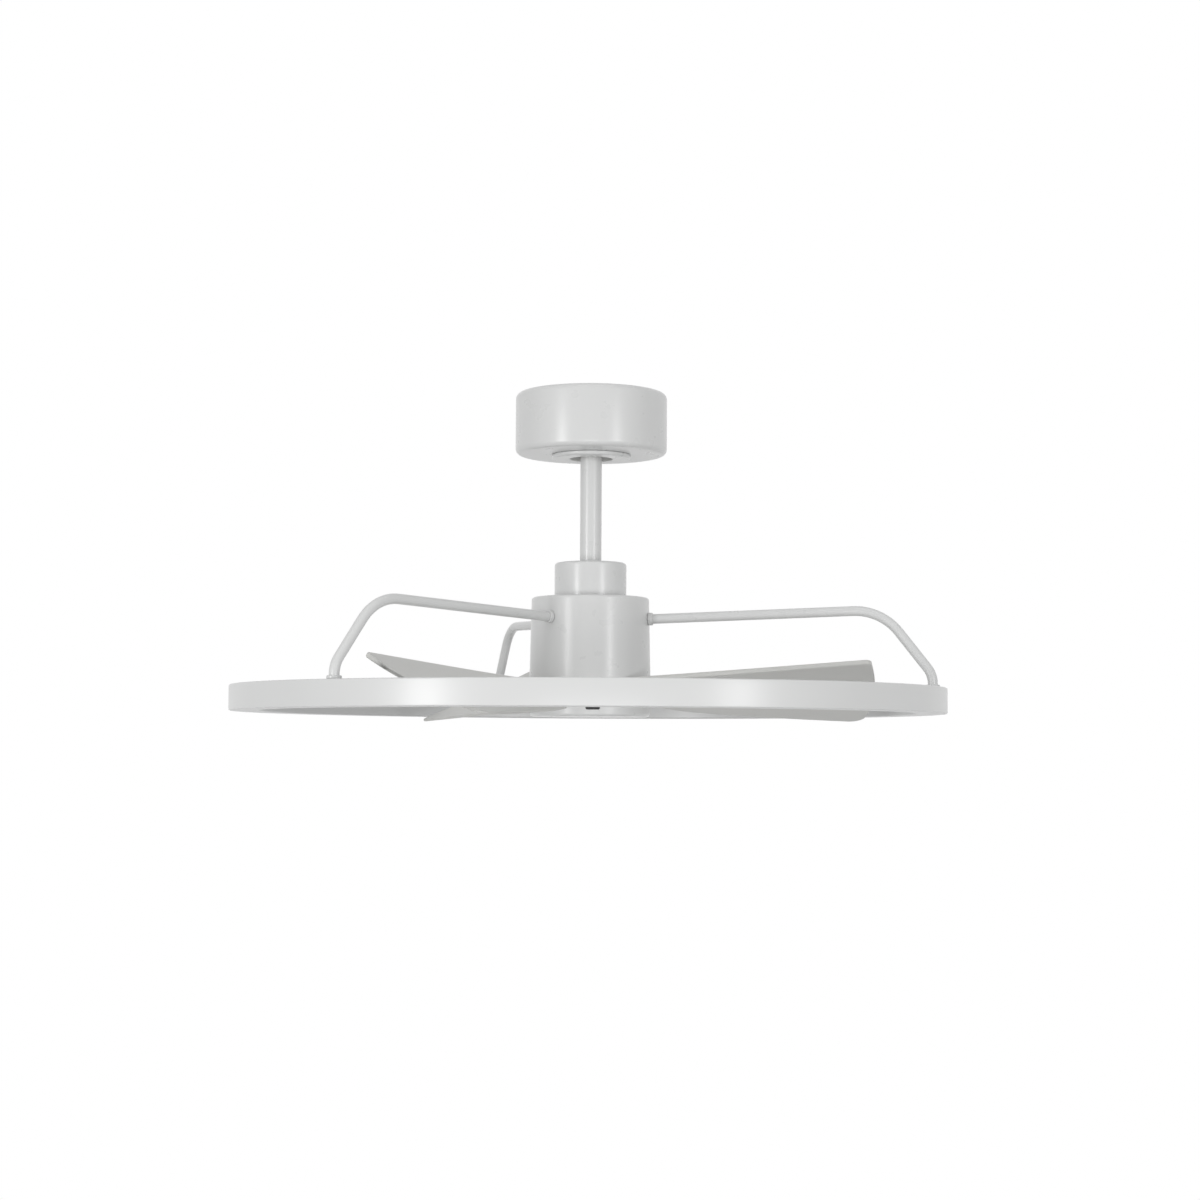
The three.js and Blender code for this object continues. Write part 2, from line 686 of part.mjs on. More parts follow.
// The line of a bar as points: straight runs, and arcs that touch them at each corner.
function armLine() {
  const footEnd = ringTop - FOOT_DEPTH;
  const corners = [
    { point: at(ARM_INNER, armHeight(ARM_INNER)) },
    { point: at(KNEE_RADIUS, armHeight(KNEE_RADIUS)), bend: KNEE_BEND, steps: KNEE_STEPS },
    { point: at(footRadius, ringTop + ANKLE_RISE), bend: ANKLE_BEND, steps: ANKLE_STEPS },
    { point: at(footRadius, footEnd) },
  ];
  return corners.flatMap(({ point, bend, steps }, i) => {
    if (!bend) return [point];
    const back = corners[i - 1].point.clone().sub(point).normalize();
    const ahead = corners[i + 1].point.clone().sub(point).normalize();
    const half = back.angleTo(ahead) / 2;
    const middle = point
      .clone()
      .addScaledVector(back.clone().add(ahead).normalize(), bend / Math.sin(half));
    const first = point.clone().addScaledVector(back, bend / Math.tan(half)).sub(middle);
    const sweep = Math.PI - 2 * half;
    return turns(steps + 1).map((k) =>
      first
        .clone()
        .rotateAround(at(0, 0), (-sweep * k) / steps)
        .add(middle),
    );
  });
}

// A curve whose steps fall on the points given, so that straight runs take one step each.
class BarLine extends THREE.Curve {
  constructor(points) {
    super();
    this.points = points;
  }
  getPoint(t, target = new THREE.Vector3()) {
    const place = Math.min(Math.max(t, 0), 1) * (this.points.length - 1);
    const i = Math.min(Math.floor(place), this.points.length - 2);
    return target.lerpVectors(this.points[i], this.points[i + 1], place - i);
  }
  getTangent(t, target = new THREE.Vector3()) {
    const place = t * (this.points.length - 1);
    const i = Math.round(place);
    const before = this.points[Math.max(i - 1, 0)];
    const after = this.points[Math.min(i + 1, this.points.length - 1)];
    const here = this.points[i];
    const way = here.clone().sub(before).normalize().add(after.clone().sub(here).normalize());
    return target.copy(way.normalize());
  }
  getUtoTmapping(u) {
    return u;
  }
}

function armBar() {
  const line = new BarLine(armLine().map((p) => new THREE.Vector3(p.x, 0, p.y)));
  const section = new THREE.Shape().absarc(0, 0, ARM_RADIUS, 0, 2 * Math.PI);
  const rod = new THREE.ExtrudeGeometry(section, {
    steps: line.points.length - 1,
    extrudePath: line,
    curveSegments: 5,
  });
  const threaded = post(
    RING_SCREW_SHANK + GAP,
    ringTop - FOOT_DEPTH - PAST,
    ringTop - PAST,
    footRadius,
    0,
  );
  return cut(rod, threaded);
}

function ring() {
  const inner = RING_EDGE - RING_WIDTH;
  const low = ringBottom + RING_EDGE;
  const high = ringTop - RING_EDGE;
  const profile = [
    ...arc(-RING_EDGE, low, RING_EDGE, -90, 0),
    ...arc(-RING_EDGE, high, RING_EDGE, 0, 90),
    ...arc(inner, high, RING_EDGE, 90, 180, 2),
    ...arc(inner, low, RING_EDGE, 180, 270, 2),
  ];
  const rings = turns(RING_STEPS).map((i) => {
    const azimuth = (360 * i) / RING_STEPS;
    const angle = radians(azimuth);
    return profile.map((point) => {
      const radius = ringOuter(azimuth) + point.x;
      return new THREE.Vector3(radius * Math.cos(angle), radius * Math.sin(angle), point.y);
    });
  });
  const holes = armAzimuths.flatMap((azimuth) => [
    around(
      post(
        ARM_RADIUS + GAP,
        ringTop - FOOT_DEPTH - GAP,
        ringTop + PAST,
        footRadius,
        0,
        SMALL_SIDES,
      ),
      azimuth,
    ),
    around(post(RING_SCREW_SHANK + GAP, ringBottom - PAST, ringTop, footRadius, 0), azimuth),
    around(
      post(
        RING_SCREW_HEAD + GAP,
        ringBottom - PAST,
        ringBottom + RING_SCREW_RECESS + GAP,
        footRadius,
        0,
      ),
      azimuth,
    ),
  ]);
  return cut(loft(rings, true), ...holes);
}

armAzimuths.forEach((azimuth, i) => {
  const number = i + 1;
  const collarStart = armStart + 2 * GAP;
  add(`ring_arm_${number}`, whitePaint, around(armBar(), azimuth));
  add(
    `arm_collar_${number}`,
    whitePaint,
    around(
      cut(
        bar(
          ARM_RADIUS + ARM_COLLAR_WALL,
          onArm(collarStart),
          onArm(collarStart + ARM_COLLAR_LENGTH),
          SMALL_SIDES,
        ),
        bar(ARM_RADIUS + GAP, onArm(armStart), onArm(armStart + BORE_END), SMALL_SIDES),
      ),
      azimuth,
    ),
  );
  add(
    `foot_collar_${number}`,
    whitePaint,
    around(
      sleeve(
        ARM_RADIUS + GAP,
        ARM_RADIUS + GAP + FOOT_COLLAR_WALL,
        ringTop + GAP,
        ringTop + GAP + FOOT_COLLAR_HEIGHT,
        SMALL_SIDES,
      ).translate(footRadius, 0, 0),
      azimuth,
    ),
  );
  add(
    `ring_screw_${number}`,
    zinc,
    around(
      risingScrew(
        RING_SCREW_HEAD,
        RING_SCREW_SHANK,
        ringBottom + RING_SCREW_RECESS - SCREW_HEAD_HEIGHT,
        SCREW_HEAD_HEIGHT,
        ringTop - RING_SCREW_END,
        footRadius,
        0,
      ),
      azimuth,
    ),
  );
});
add("orbit_ring", whitePaint, ring());

// Housing and the plate that carries the bars
const armBores = () =>
  armAzimuths.map((azimuth) =>
    around(
      bar(ARM_RADIUS + GAP, onArm(ARM_INNER - GAP), onArm(armStart + BORE_END), SMALL_SIDES),
      azimuth,
    ),
  );

function housing() {
  const edge = HOUSING_TOP_RADIUS - HOUSING_EDGE;
  const shell = lathe(
    [
      at(HOUSING_BOTTOM_RADIUS - HOUSING_WALL, housingBottom),
      at(HOUSING_BOTTOM_RADIUS, housingBottom),
      ...arc(edge, housingTop - HOUSING_EDGE, HOUSING_EDGE, 0, 90),
      at(SHAFT_RADIUS + GAP, housingTop),
      at(SHAFT_RADIUS + GAP, housingTop - HOUSING_WALL),
      ...arc(edge, housingTop - HOUSING_EDGE, HOUSING_EDGE - HOUSING_WALL, 90, 0, 1),
    ],
    WIDE_SIDES,
  );
  return cut(shell, ...armBores());
}

function armCarrier() {
  const plateLow = carrierTop - CARRIER_PLATE;
  const rim = HOUSING_TOP_RADIUS - HOUSING_WALL - HOUSING_EDGE;
  const plate = sleeve(SHAFT_RADIUS + GAP, rim, plateLow, carrierTop, MID_SIDES);
  const bosses = armAzimuths.map((azimuth) =>
    around(
      join(
        bar(ARM_RADIUS + BOSS_WALL, onArm(BOSS_INNER), onArm(rim), SMALL_SIDES),
        box(
          [BOSS_INNER, rim - PAST],
          [-ARM_RADIUS, ARM_RADIUS],
          [armMiddle, plateLow + PAST],
        ),
      ),
      azimuth,
    ),
  );
  return cut(join(plate, ...bosses), ...armBores());
}
add("motor_housing", whitePaint, housing());
add("arm_carrier", zinc, armCarrier());

// Motor: the stator stays on the hollow shaft, the cup with the magnets turns round it
const shaftBottom = nutBottom - SHAFT_STUB;
const statorTop = rotorTop - BEARING_HEIGHT - WINDING_RISE - 3 * GAP;
const statorBottom = lowerBearingBottom + BEARING_HEIGHT + STATOR_ROOM;
const slotInner = SHAFT_RADIUS + GAP + STATOR_YOKE;
const slotOuter = statorRadius - STATOR_RIM;
const perSlot = (shape) =>
  turns(STATOR_SLOTS).map((i) => around(shape(), (i * 360) / STATOR_SLOTS));
const across = (width) => [-width / 2, width / 2];

add(
  "motor_shaft",
  steel,
  sleeve(SHAFT_BORE, SHAFT_RADIUS, shaftBottom, shaftTop, SMALL_SIDES),
);
add(
  "stator_core",
  steel,
  cut(
    sleeve(SHAFT_RADIUS + GAP, statorRadius, statorBottom, statorTop, MID_SIDES),
    ...perSlot(() =>
      box([slotInner, slotOuter], across(SLOT_WIDTH), [statorBottom - PAST, statorTop + PAST]),
    ),
  ),
);
add(
  "stator_winding",
  copper,
  join(
    sleeve(
      slotInner + GAP,
      slotOuter - GAP,
      statorTop + GAP,
      statorTop + GAP + WINDING_RISE,
      MID_SIDES,
    ),
    sleeve(
      slotInner + GAP,
      slotOuter - GAP,
      statorBottom - GAP - WINDING_RISE,
      statorBottom - GAP,
      MID_SIDES,
    ),
    ...perSlot(() =>
      box([slotInner + WINDING_ROOM, slotOuter - WINDING_ROOM], across(SLOT_WIDTH - 2 * GAP), [
        statorBottom - GAP - PAST,
        statorTop + GAP + PAST,
      ]),
    ),
  ),
);

const bearing = (bottom) =>
  sleeve(SHAFT_RADIUS + GAP, bearingRadius, bottom, bottom + BEARING_HEIGHT, SMALL_SIDES);
const bearingBoss = bearingSeat + BEARING_WALL;
add("upper_bearing", steel, bearing(rotorTop - BEARING_HEIGHT));
add("lower_bearing", steel, bearing(lowerBearingBottom));
add(
  "rotor_cup",
  steel,
  lathe(
    [
      at(bearingSeat, rotorTop - BEARING_HEIGHT),
      at(bearingBoss, rotorTop - BEARING_HEIGHT),
      at(bearingBoss, rotorTop - ROTOR_WALL),
      at(ROTOR_RADIUS - ROTOR_WALL, rotorTop - ROTOR_WALL),
      at(ROTOR_RADIUS - ROTOR_WALL, rotorFloorTop + GAP),
      at(ROTOR_RADIUS, rotorFloorTop + GAP),
      at(ROTOR_RADIUS, rotorTop),
      at(bearingSeat, rotorTop),
    ],
    MID_SIDES,
  ),
);
add(
  "magnet_ring",
  ferrite,
  sleeve(
    magnetOuter - MAGNET_WIDTH,
    magnetOuter,
    statorBottom - MAGNET_OVERHANG,
    statorTop + MAGNET_OVERHANG,
    MID_SIDES,
  ),
);

// Hub: the rotor's floor above, the disc and rim that hold the blades below
function hub() {
  const seatTop = lowerBearingBottom + BEARING_HEIGHT;
  const seatFloor = lowerBearingBottom - HUB_FLOOR;
  const shape = lathe(
    [
      at(HUB_OPENING, discBottom),
      at(HUB_RADIUS - HUB_RIM, discBottom),
      at(HUB_RADIUS - HUB_RIM, hubBottom),
      at(HUB_RADIUS, hubBottom),
      at(HUB_RADIUS, hubTop),
      at(HUB_NECK, hubTop),
      at(HUB_NECK, rotorFloorTop - ROTOR_WALL),
      at(ROTOR_RADIUS, rotorFloorTop - ROTOR_WALL),
      at(ROTOR_RADIUS, rotorFloorTop),
      at(bearingBoss, rotorFloorTop),
      at(bearingBoss, seatTop),
      at(bearingSeat, seatTop),
      at(bearingSeat, seatFloor),
      at(HUB_THROAT, seatFloor),
      at(HUB_THROAT, discBottom),
    ],
    WIDE_SIDES,
  );
  const tools = bladeAzimuths.flatMap((azimuth) => [
    around(
      box(
        [HUB_NECK, HUB_RADIUS + HUB_RIM],
        [
          TONGUE_SHIFT - TONGUE_WIDTH / 2 - GAP,
          TONGUE_SHIFT + TONGUE_WIDTH / 2 + GAP,
        ],
        [discBottom - TONGUE_THICK - 2 * GAP, discBottom],
      ),
      azimuth,
    ),
    ...bladeScrewPlaces.map(([x, y]) =>
      around(
        post(BLADE_SCREW_SHANK + GAP, discBottom - PAST, hubTop - BLADE_SCREW_COVER, x, y),
        azimuth,
      ),
    ),
  ]);
  return cut(shape, ...tools);
}

const bladeAzimuths = turns(BLADE_COUNT).map((i) => BLADE_AZIMUTH + (i * 360) / BLADE_COUNT);
const bladeScrewPlaces = [-1, 1].map((side) => [
  BLADE_SCREW_CIRCLE,
  TONGUE_SHIFT + (side * BLADE_SCREW_SPREAD) / 2,
]);

// Middle line of the blade's section at one radius, leading to trailing edge, as (across, z)
function chordLine(share) {
  const mix = THREE.MathUtils.lerp;
  const bow = share ** TAIL_BOW;
  const lead = at(
    mix(-LEAD_ROOT_SWEEP, 0, share),
    hubTop + mix(LEAD_ROOT_RISE, LEAD_TIP_RISE, share),
  );
  const tail = at(
    mix(TAIL_ROOT_REACH, TAIL_TIP_REACH, bow),
    hubTop - mix(TAIL_ROOT_DROP, TAIL_TIP_DROP, bow),
  );
  const middle = lead.clone().lerp(tail, 0.5);
  middle.y -= BLADE_HOLLOW * share;
  return new THREE.QuadraticBezierCurve(lead, middle, tail);
}

const thickness = (share) => BLADE_NOSE + (BLADE_TAIL - BLADE_NOSE) * Math.sqrt(share);

function bladeSection(radius) {
  const line = chordLine((radius - BLADE_ROOT_RADIUS) / (BLADE_RADIUS - BLADE_ROOT_RADIUS));
  const length = line.getLength();
  const toTip = BLADE_RADIUS - radius;
  const inset = (corner) =>
    toTip < corner ? corner - Math.sqrt(corner ** 2 - (corner - toTip) ** 2) : 0;
  const start = inset(LEAD_CORNER) / length;
  const end = 1 - inset(TAIL_CORNER) / length;
  const stations = turns(CHORD_STEPS + 1).map((i) => start + ((end - start) * i) / CHORD_STEPS);
  const side = (sign) =>
    stations.map((share, i) => {
      const edge = i === 0 || i === CHORD_STEPS ? EDGE_SHARE : 1;
      const way = line.getTangentAt(share);
      const off = (sign * edge * thickness(share)) / 2;
      const spot = line.getPointAt(share).add(at(-way.y * off, way.x * off));
      return new THREE.Vector3(Math.sqrt(radius ** 2 - spot.x ** 2), spot.x, spot.y);
    });
  return [...side(1), ...side(-1).reverse()];
}

function blade() {
  const even = turns(BLADE_STEPS).map(
    (i) => BLADE_ROOT_RADIUS + ((BLADE_RADIUS - TAIL_CORNER - BLADE_ROOT_RADIUS) * i) / BLADE_STEPS,
  );
  const tip = turns(TIP_STEPS + 1).map(
    (i) => BLADE_RADIUS - TAIL_CORNER * (1 - Math.sin(((i / TIP_STEPS) * Math.PI) / 2)),
  );
  const foil = loft([...even, ...tip].map(bladeSection), false);
  const top = discBottom - GAP;
  const tongue = box(
    [TONGUE_INNER, TONGUE_OUTER],
    [TONGUE_SHIFT - TONGUE_WIDTH / 2, TONGUE_SHIFT + TONGUE_WIDTH / 2],
    [top - TONGUE_THICK, top],
  );
  const holes = bladeScrewPlaces.map(([x, y]) =>
    post(BLADE_SCREW_SHANK + GAP, top - TONGUE_THICK - PAST, top + PAST, x, y),
  );
  return cut(join(foil, tongue), ...holes);
}

add("blade_hub", whitePaint, hub());
bladeAzimuths.forEach((azimuth, i) => {
  add(`blade_${i + 1}`, bladePlastic, around(blade(), azimuth));
  bladeScrewPlaces.forEach(([x, y], k) => {
    const headTop = discBottom - TONGUE_THICK - 2 * GAP;
    add(
      `blade_screw_${2 * i + k + 1}`,
      zinc,
      around(
        risingScrew(
          BLADE_SCREW_HEAD,
          BLADE_SCREW_SHANK,
          headTop - BLADE_SCREW_HEIGHT,
          BLADE_SCREW_HEIGHT,
          hubTop - BLADE_SCREW_COVER - GAP,
          x,
          y,
        ),
        azimuth,
      ),
    );
  });
});

// Still cap under the hub, on a plate that the shaft's nut holds
const capScrewPlaces = turns(CAP_SCREW_COUNT).map((i) => {
  const angle = radians(WINDOW_AZIMUTH + ((i + 0.5) * 360) / CAP_SCREW_COUNT);
  return [CAP_SCREW_CIRCLE * Math.cos(angle), CAP_SCREW_CIRCLE * Math.sin(angle)];
});
const windowBox = (grow) =>
  around(
    box(
      [CAP_RADIUS - 3 * CAP_WALL, CAP_RADIUS + CAP_WALL],
      [-WINDOW_WIDTH / 2 - grow, WINDOW_WIDTH / 2 + grow],
      [capTop - WINDOW_TOP - WINDOW_HEIGHT - grow, capTop - WINDOW_TOP + grow],
    ),
    WINDOW_AZIMUTH,
  );

function lowerCap() {
  const edge = CAP_RADIUS - CAP_EDGE;
  const shell = lathe(
    [
      at(0, capBottom),
      ...arc(edge, capBottom + CAP_EDGE, CAP_EDGE, -90, 0),
      at(CAP_RADIUS, capTop),
      at(CAP_RADIUS - CAP_WALL, capTop),
      ...arc(edge, capBottom + CAP_EDGE, CAP_EDGE - CAP_WALL, 0, -90, 1),
      at(0, capBottom + CAP_WALL),
    ],
    WIDE_SIDES,
  );
  const bosses = capScrewPlaces.map(([x, y]) =>
    post(CAP_BOSS_RADIUS, capBottom + CAP_WALL / 2, plateBottom - GAP, x, y, SMALL_SIDES),
  );
  const holes = capScrewPlaces.flatMap(([x, y]) => [
    post(CAP_SCREW_SHANK + GAP, capBottom - PAST, plateBottom, x, y),
    post(CAP_SCREW_HEAD + GAP, capBottom - PAST, capBottom + CAP_WALL + GAP, x, y),
  ]);
  return cut(join(shell, ...bosses), ...holes, windowBox(GAP));
}

function receiverWindow() {
  const skin = sleeve(
    CAP_RADIUS - CAP_WALL,
    CAP_RADIUS - WINDOW_INSET,
    capBottom,
    capTop,
    WIDE_SIDES,
  );
  return common(skin, windowBox(0));
}

add(
  "lower_plate",
  zinc,
  cut(
    sleeve(
      SHAFT_RADIUS + GAP,
      CAP_RADIUS - CAP_WALL - CAP_EDGE,
      plateBottom,
      plateTop,
      MID_SIDES,
    ),
    ...capScrewPlaces.map(([x, y]) =>
      post(CAP_SCREW_SHANK + GAP, plateBottom - PAST, plateTop + PAST, x, y),
    ),
  ),
);
add(
  "shaft_nut",
  zinc,
  cut(
    post(NUT_RADIUS, nutBottom, nutTop, 0, 0, NUT_SIDES),
    post(SHAFT_RADIUS + GAP, nutBottom - PAST, nutTop + PAST, 0, 0, SMALL_SIDES),
  ),
);
add("lower_cap", whitePaint, lowerCap());
capScrewPlaces.forEach(([x, y], i) =>
  add(
    `cap_screw_${i + 1}`,
    zinc,
    risingScrew(
      CAP_SCREW_HEAD,
      CAP_SCREW_SHANK,
      capBottom + GAP,
      CAP_WALL - GAP,
      plateTop - GAP,
      x,
      y,
    ),
  ),
);
add("receiver_window", darkPlastic, receiverWindow());
add(
  "receiver_board",
  board,
  around(
    box(
      [CAP_RADIUS - BOARD_INSET - BOARD_SIZE[1], CAP_RADIUS - BOARD_INSET],
      across(BOARD_SIZE[0]),
      [plateBottom - GAP - BOARD_SIZE[2], plateBottom - GAP],
    ),
    WINDOW_AZIMUTH,
  ),
);

export default fan;
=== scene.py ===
"""A white ceiling fan whose three blades turn inside a still ring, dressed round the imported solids.

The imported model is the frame, in metres with +Z up and the ceiling at z = 0. Shapes here are worked out
in millimetres and scaled once, when a piece is made.
"""

import json
import math

import bmesh
import bpy
from mathutils import Matrix, Vector


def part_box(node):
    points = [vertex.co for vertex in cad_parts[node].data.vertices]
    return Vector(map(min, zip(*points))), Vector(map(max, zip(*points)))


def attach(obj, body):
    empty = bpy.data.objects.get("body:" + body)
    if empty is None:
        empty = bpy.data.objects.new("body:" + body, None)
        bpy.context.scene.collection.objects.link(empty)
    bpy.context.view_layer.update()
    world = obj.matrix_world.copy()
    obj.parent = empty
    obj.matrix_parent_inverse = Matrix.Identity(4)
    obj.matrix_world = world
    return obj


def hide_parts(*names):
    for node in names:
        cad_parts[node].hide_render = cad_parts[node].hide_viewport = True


MM = 0.001

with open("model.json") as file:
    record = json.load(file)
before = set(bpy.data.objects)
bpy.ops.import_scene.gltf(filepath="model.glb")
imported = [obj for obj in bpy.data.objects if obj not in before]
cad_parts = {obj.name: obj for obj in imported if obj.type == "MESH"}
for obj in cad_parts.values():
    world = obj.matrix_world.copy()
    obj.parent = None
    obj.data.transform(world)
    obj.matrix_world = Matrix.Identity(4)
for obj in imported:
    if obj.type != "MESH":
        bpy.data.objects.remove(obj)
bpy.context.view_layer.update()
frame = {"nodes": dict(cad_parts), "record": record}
scene = bpy.context.scene


# ---------------------------------------------------------------- sizes read from the frame

def low(node):
    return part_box(node)[0].z / MM


def high(node):
    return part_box(node)[1].z / MM


def middle_height(node):
    return (low(node) + high(node)) / 2


def radius(node):
    """Outer radius of a node that is turned about the axis."""
    bottom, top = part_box(node)
    return (top.y - bottom.y) / 2 / MM


def heading(node):
    """Azimuth of a node's middle, in degrees."""
    bottom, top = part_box(node)
    middle = (bottom + top) / 2
    return math.degrees(math.atan2(middle.y, middle.x))


def reach(node):
    """Distance of a node's middle from the axis."""
    bottom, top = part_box(node)
    return ((bottom + top) / 2).xy.length / MM


# ---------------------------------------------------------------- sizes, in millimetres

GAP = 0.3  # between pieces that touch
BROKEN = 0.3  # radii that take the sharpness off an edge
EASED = 0.4
SOFT = 0.5
WIDE = 160  # sides of the large turned pieces
SMALL = 48
CANOPY_HOLE = 24
CANOPY_WALL = 1.5
CANOPY_EDGE = 6.5
CANOPY_LIP = 7.2
TRIM_EDGE = 3.2
TRIM_BORE_EDGE = 0.9
TRIM_HOLLOW = (37.4, 47.9)
ROD_WALL = 2.5
COVER_WALL = 1.8
COVER_EDGE = 3.6
COVER_BORE_EDGE = 0.6
HOUSING_TOP_RADIUS = 65.3
HOUSING_WALL = 2
HOUSING_EDGE = 3
HOUSING_FOOT_EDGE = 0.8
HOUSING_INNER_EDGE = 1
SHAFT_HOLE = 8.3
PIN_HOLE = 3.3
PIN_TOOL = 80  # length of the bar that cuts the pins' holes
HUB_PLAY = 1.6  # between the housing and the hub
HUB_DISC = 4.2
HUB_RIM = 4
HUB_NECK = 44
HUB_THROAT = 14
HUB_EDGE = 0.8
HUB_INNER_EDGE = 1
BEARING_SEAT = 16.6
BEARING_BOSS = 21.6
BEARING_LEDGE = 1
ROTOR_WALL = 3
CAP_WALL = 2
CAP_EDGE = 3
CAP_RIM_EDGE = 0.6
CAP_BOSS = 5.2
CAP_SCREW_HOLE = 2.1
CAP_HEAD_HOLE = 4.1
WINDOW_WIDTH = 15.6
WINDOW_CORNER = 1.6
WINDOW_INSET = 0.2
WINDOW_STEPS = 8

RING_RADIUS = 390.8
RING_LOBE = 7.8
RING_LOBES = 3
LOBE_AZIMUTH = 85
RING_WIDTH = 32
RING_CORNER = 1.5
RING_STEPS = 288
RING_CORNER_STEP = 15  # degrees
RING_HEAD_HOLE = 4.6
RING_HEAD_ROOM = 3
ARM_RADIUS = 5.4
ARM_START = 65.8  # radius where a bar leaves the housing
ARM_INNER = 42
ARM_DROP = 24
ARM_SLOPE = 1.85
KNEE_RADIUS = 322.8
KNEE_BEND = 60
ANKLE_RISE = 14.6
ANKLE_BEND = 28
FOOT_DEPTH = 12
COLLAR_WALL = 1.7
COLLAR_LENGTH = 4.5
COLLAR_EDGE = 1.2
FOOT_COLLAR_WALL = 2
FOOT_COLLAR_EDGE = 1.4
ARM_TOOL = 30  # length of the bar that cuts the housing's holes
ARM_SIDES = 28
BEND_STEP = 3  # degrees

BLADE_ROOT_RADIUS = 71
BLADE_RADIUS = 314.5
BLADE_NOSE = 6
BLADE_TAIL = 3
LEAD_ROOT_SWEEP = 46.6
LEAD_ROOT_RISE = 2.4
LEAD_TIP_RISE = 22.2
TAIL_ROOT_DROP = 23.3
TAIL_TIP_DROP = 40.4
TAIL_ROOT_REACH = 10
TAIL_TIP_REACH = 148
TAIL_BOW = 0.54
BLADE_HOLLOW = 4.4
LEAD_CORNER = 6
TAIL_CORNER = 16
TIP_BEVEL = 0.7
BLADE_STEPS = 44
TIP_STEPS = 14
CHORD_STEPS = 34
CURVE_STEPS = 40
EDGE_STEPS = 5
TONGUE_WIDTH = 32
TONGUE_THICK = 5
TONGUE_INNER = 30
TONGUE_OUTER = 92
TONGUE_SHIFT = -24
TONGUE_ROOT_EDGE = 4
TONGUE_TIP_EDGE = 1
BLADE_AZIMUTHS = [223.1 + 120 * i for i in range(3)]

housing_top = high("motor_housing")
ring_top = high("orbit_ring")
hub_top = low("motor_housing") - HUB_PLAY
arm_middle = housing_top - ARM_DROP
arm_foot = reach("foot_collar_1")
slope = math.tan(math.radians(ARM_SLOPE))


# ---------------------------------------------------------------- outlines and solids

def rounded(corners, closed=True, step=9):
    """Corners (x, y) or (x, y, radius) as points, with each radius turned into an arc."""
    points = []
    count = len(corners)
    for i, corner in enumerate(corners):
        here = Vector(corner[:2])
        size = corner[2] if len(corner) > 2 else 0
        ends = (i == 0 or i == count - 1) and not closed
        if not size or ends:
            points.append(here)
            continue
        back = (Vector(corners[i - 1][:2]) - here).normalized()
        ahead = (Vector(corners[(i + 1) % count][:2]) - here).normalized()
        half = back.angle(ahead) / 2
        middle = here + (back + ahead).normalized() * size / math.sin(half)
        arm = here + back * size / math.tan(half) - middle
        sweep = math.pi - 2 * half
        sign = -1 if back.x * ahead.y - back.y * ahead.x > 0 else 1
        steps = max(2, math.ceil(math.degrees(sweep) / step))
        for k in range(steps + 1):
            angle = sign * sweep * k / steps
            turn = Matrix.Rotation(angle, 2)
            points.append(middle + turn @ arm)
    return points


def skin(rings, wrap_rings, wrap_points=True, caps=False):
    """Vertices and faces of a surface through rings of points."""
    count = len(rings[0])
    faces = []
    for i in range(len(rings) if wrap_rings else len(rings) - 1):
        a, b = i * count, (i + 1) % len(rings) * count
        for j in range(count if wrap_points else count - 1):
            k = (j + 1) % count
            faces.append((a + j, a + k, b + k, b + j))
    if caps:
        last = (len(rings) - 1) * count
        faces.append(tuple(range(count))[::-1])
        faces.append(tuple(last + j for j in range(count)))
    return [p for ring in rings for p in ring], faces


def lathe(outline, sides=WIDE, closed=True):
    """An outline of (radius, z) points turned about the axis. An open one starts and ends on it."""
    rings = []
    for i in range(sides):
        angle = 2 * math.pi * i / sides
        rings.append([Vector((r * math.cos(angle), r * math.sin(angle), z)) for r, z in outline])
    return skin(rings, True, closed)


def post(size, bottom, top, x=0.0, y=0.0):
    """An upright solid cylinder."""
    angles = [2 * math.pi * i / SMALL for i in range(SMALL)]
    rings = [
        [Vector((x + size * math.cos(a), y + size * math.sin(a), z)) for a in angles]
        for z in (bottom, top)
    ]
    return skin(rings, False, True, True)


def block(x, y, z):
    """A box between two values on each axis."""
    corners = [(x[0], y[0]), (x[1], y[0]), (x[1], y[1]), (x[0], y[1])]
    return skin([[Vector((*c, level)) for c in corners] for level in z], False, True, True)


def moved(geometry, matrix):
    points, faces = geometry
    return [matrix @ p for p in points], faces


def turned(geometry, azimuth):
    return moved(geometry, Matrix.Rotation(math.radians(azimuth), 4, "Z"))


def together(*geometries):
    points, faces = [], []
    for more, sides in geometries:
        start = len(points)
        points += more
        faces += [tuple(start + i for i in face) for face in sides]
    return points, faces


def mesh_of(name, geometry):
    points, faces = geometry
    mesh = bpy.data.meshes.new(name)
    mesh.from_pydata([p * MM for p in points], [], faces)
    bm = bmesh.new()
    bm.from_mesh(mesh)
    bmesh.ops.remove_doubles(bm, verts=bm.verts, dist=1e-7)
    bmesh.ops.recalc_face_normals(bm, faces=bm.faces)
    bm.to_mesh(mesh)
    bm.free()
    return mesh


def combine(geometry, other, operation):
    """One boolean between two geometries."""
    objects = []
    for part in (geometry, other):
        thing = bpy.data.objects.new("boolean", mesh_of("boolean", part))
        scene.collection.objects.link(thing)
        objects.append(thing)
    modifier = objects[0].modifiers.new("boolean", "BOOLEAN")
    modifier.object = objects[1]
    modifier.operation = operation
    modifier.solver = "EXACT"
    done = objects[0].evaluated_get(bpy.context.evaluated_depsgraph_get()).to_mesh()
    points = [v.co / MM for v in done.vertices]
    faces = [tuple(p.vertices) for p in done.polygons]
    for thing in objects:
        bpy.data.objects.remove(thing)
    return points, faces


def cut(geometry, *tools):
    return combine(geometry, together(*tools), "DIFFERENCE")


def join(geometry, *others):
    for other in others:
        geometry = combine(geometry, other, "UNION")
    return geometry


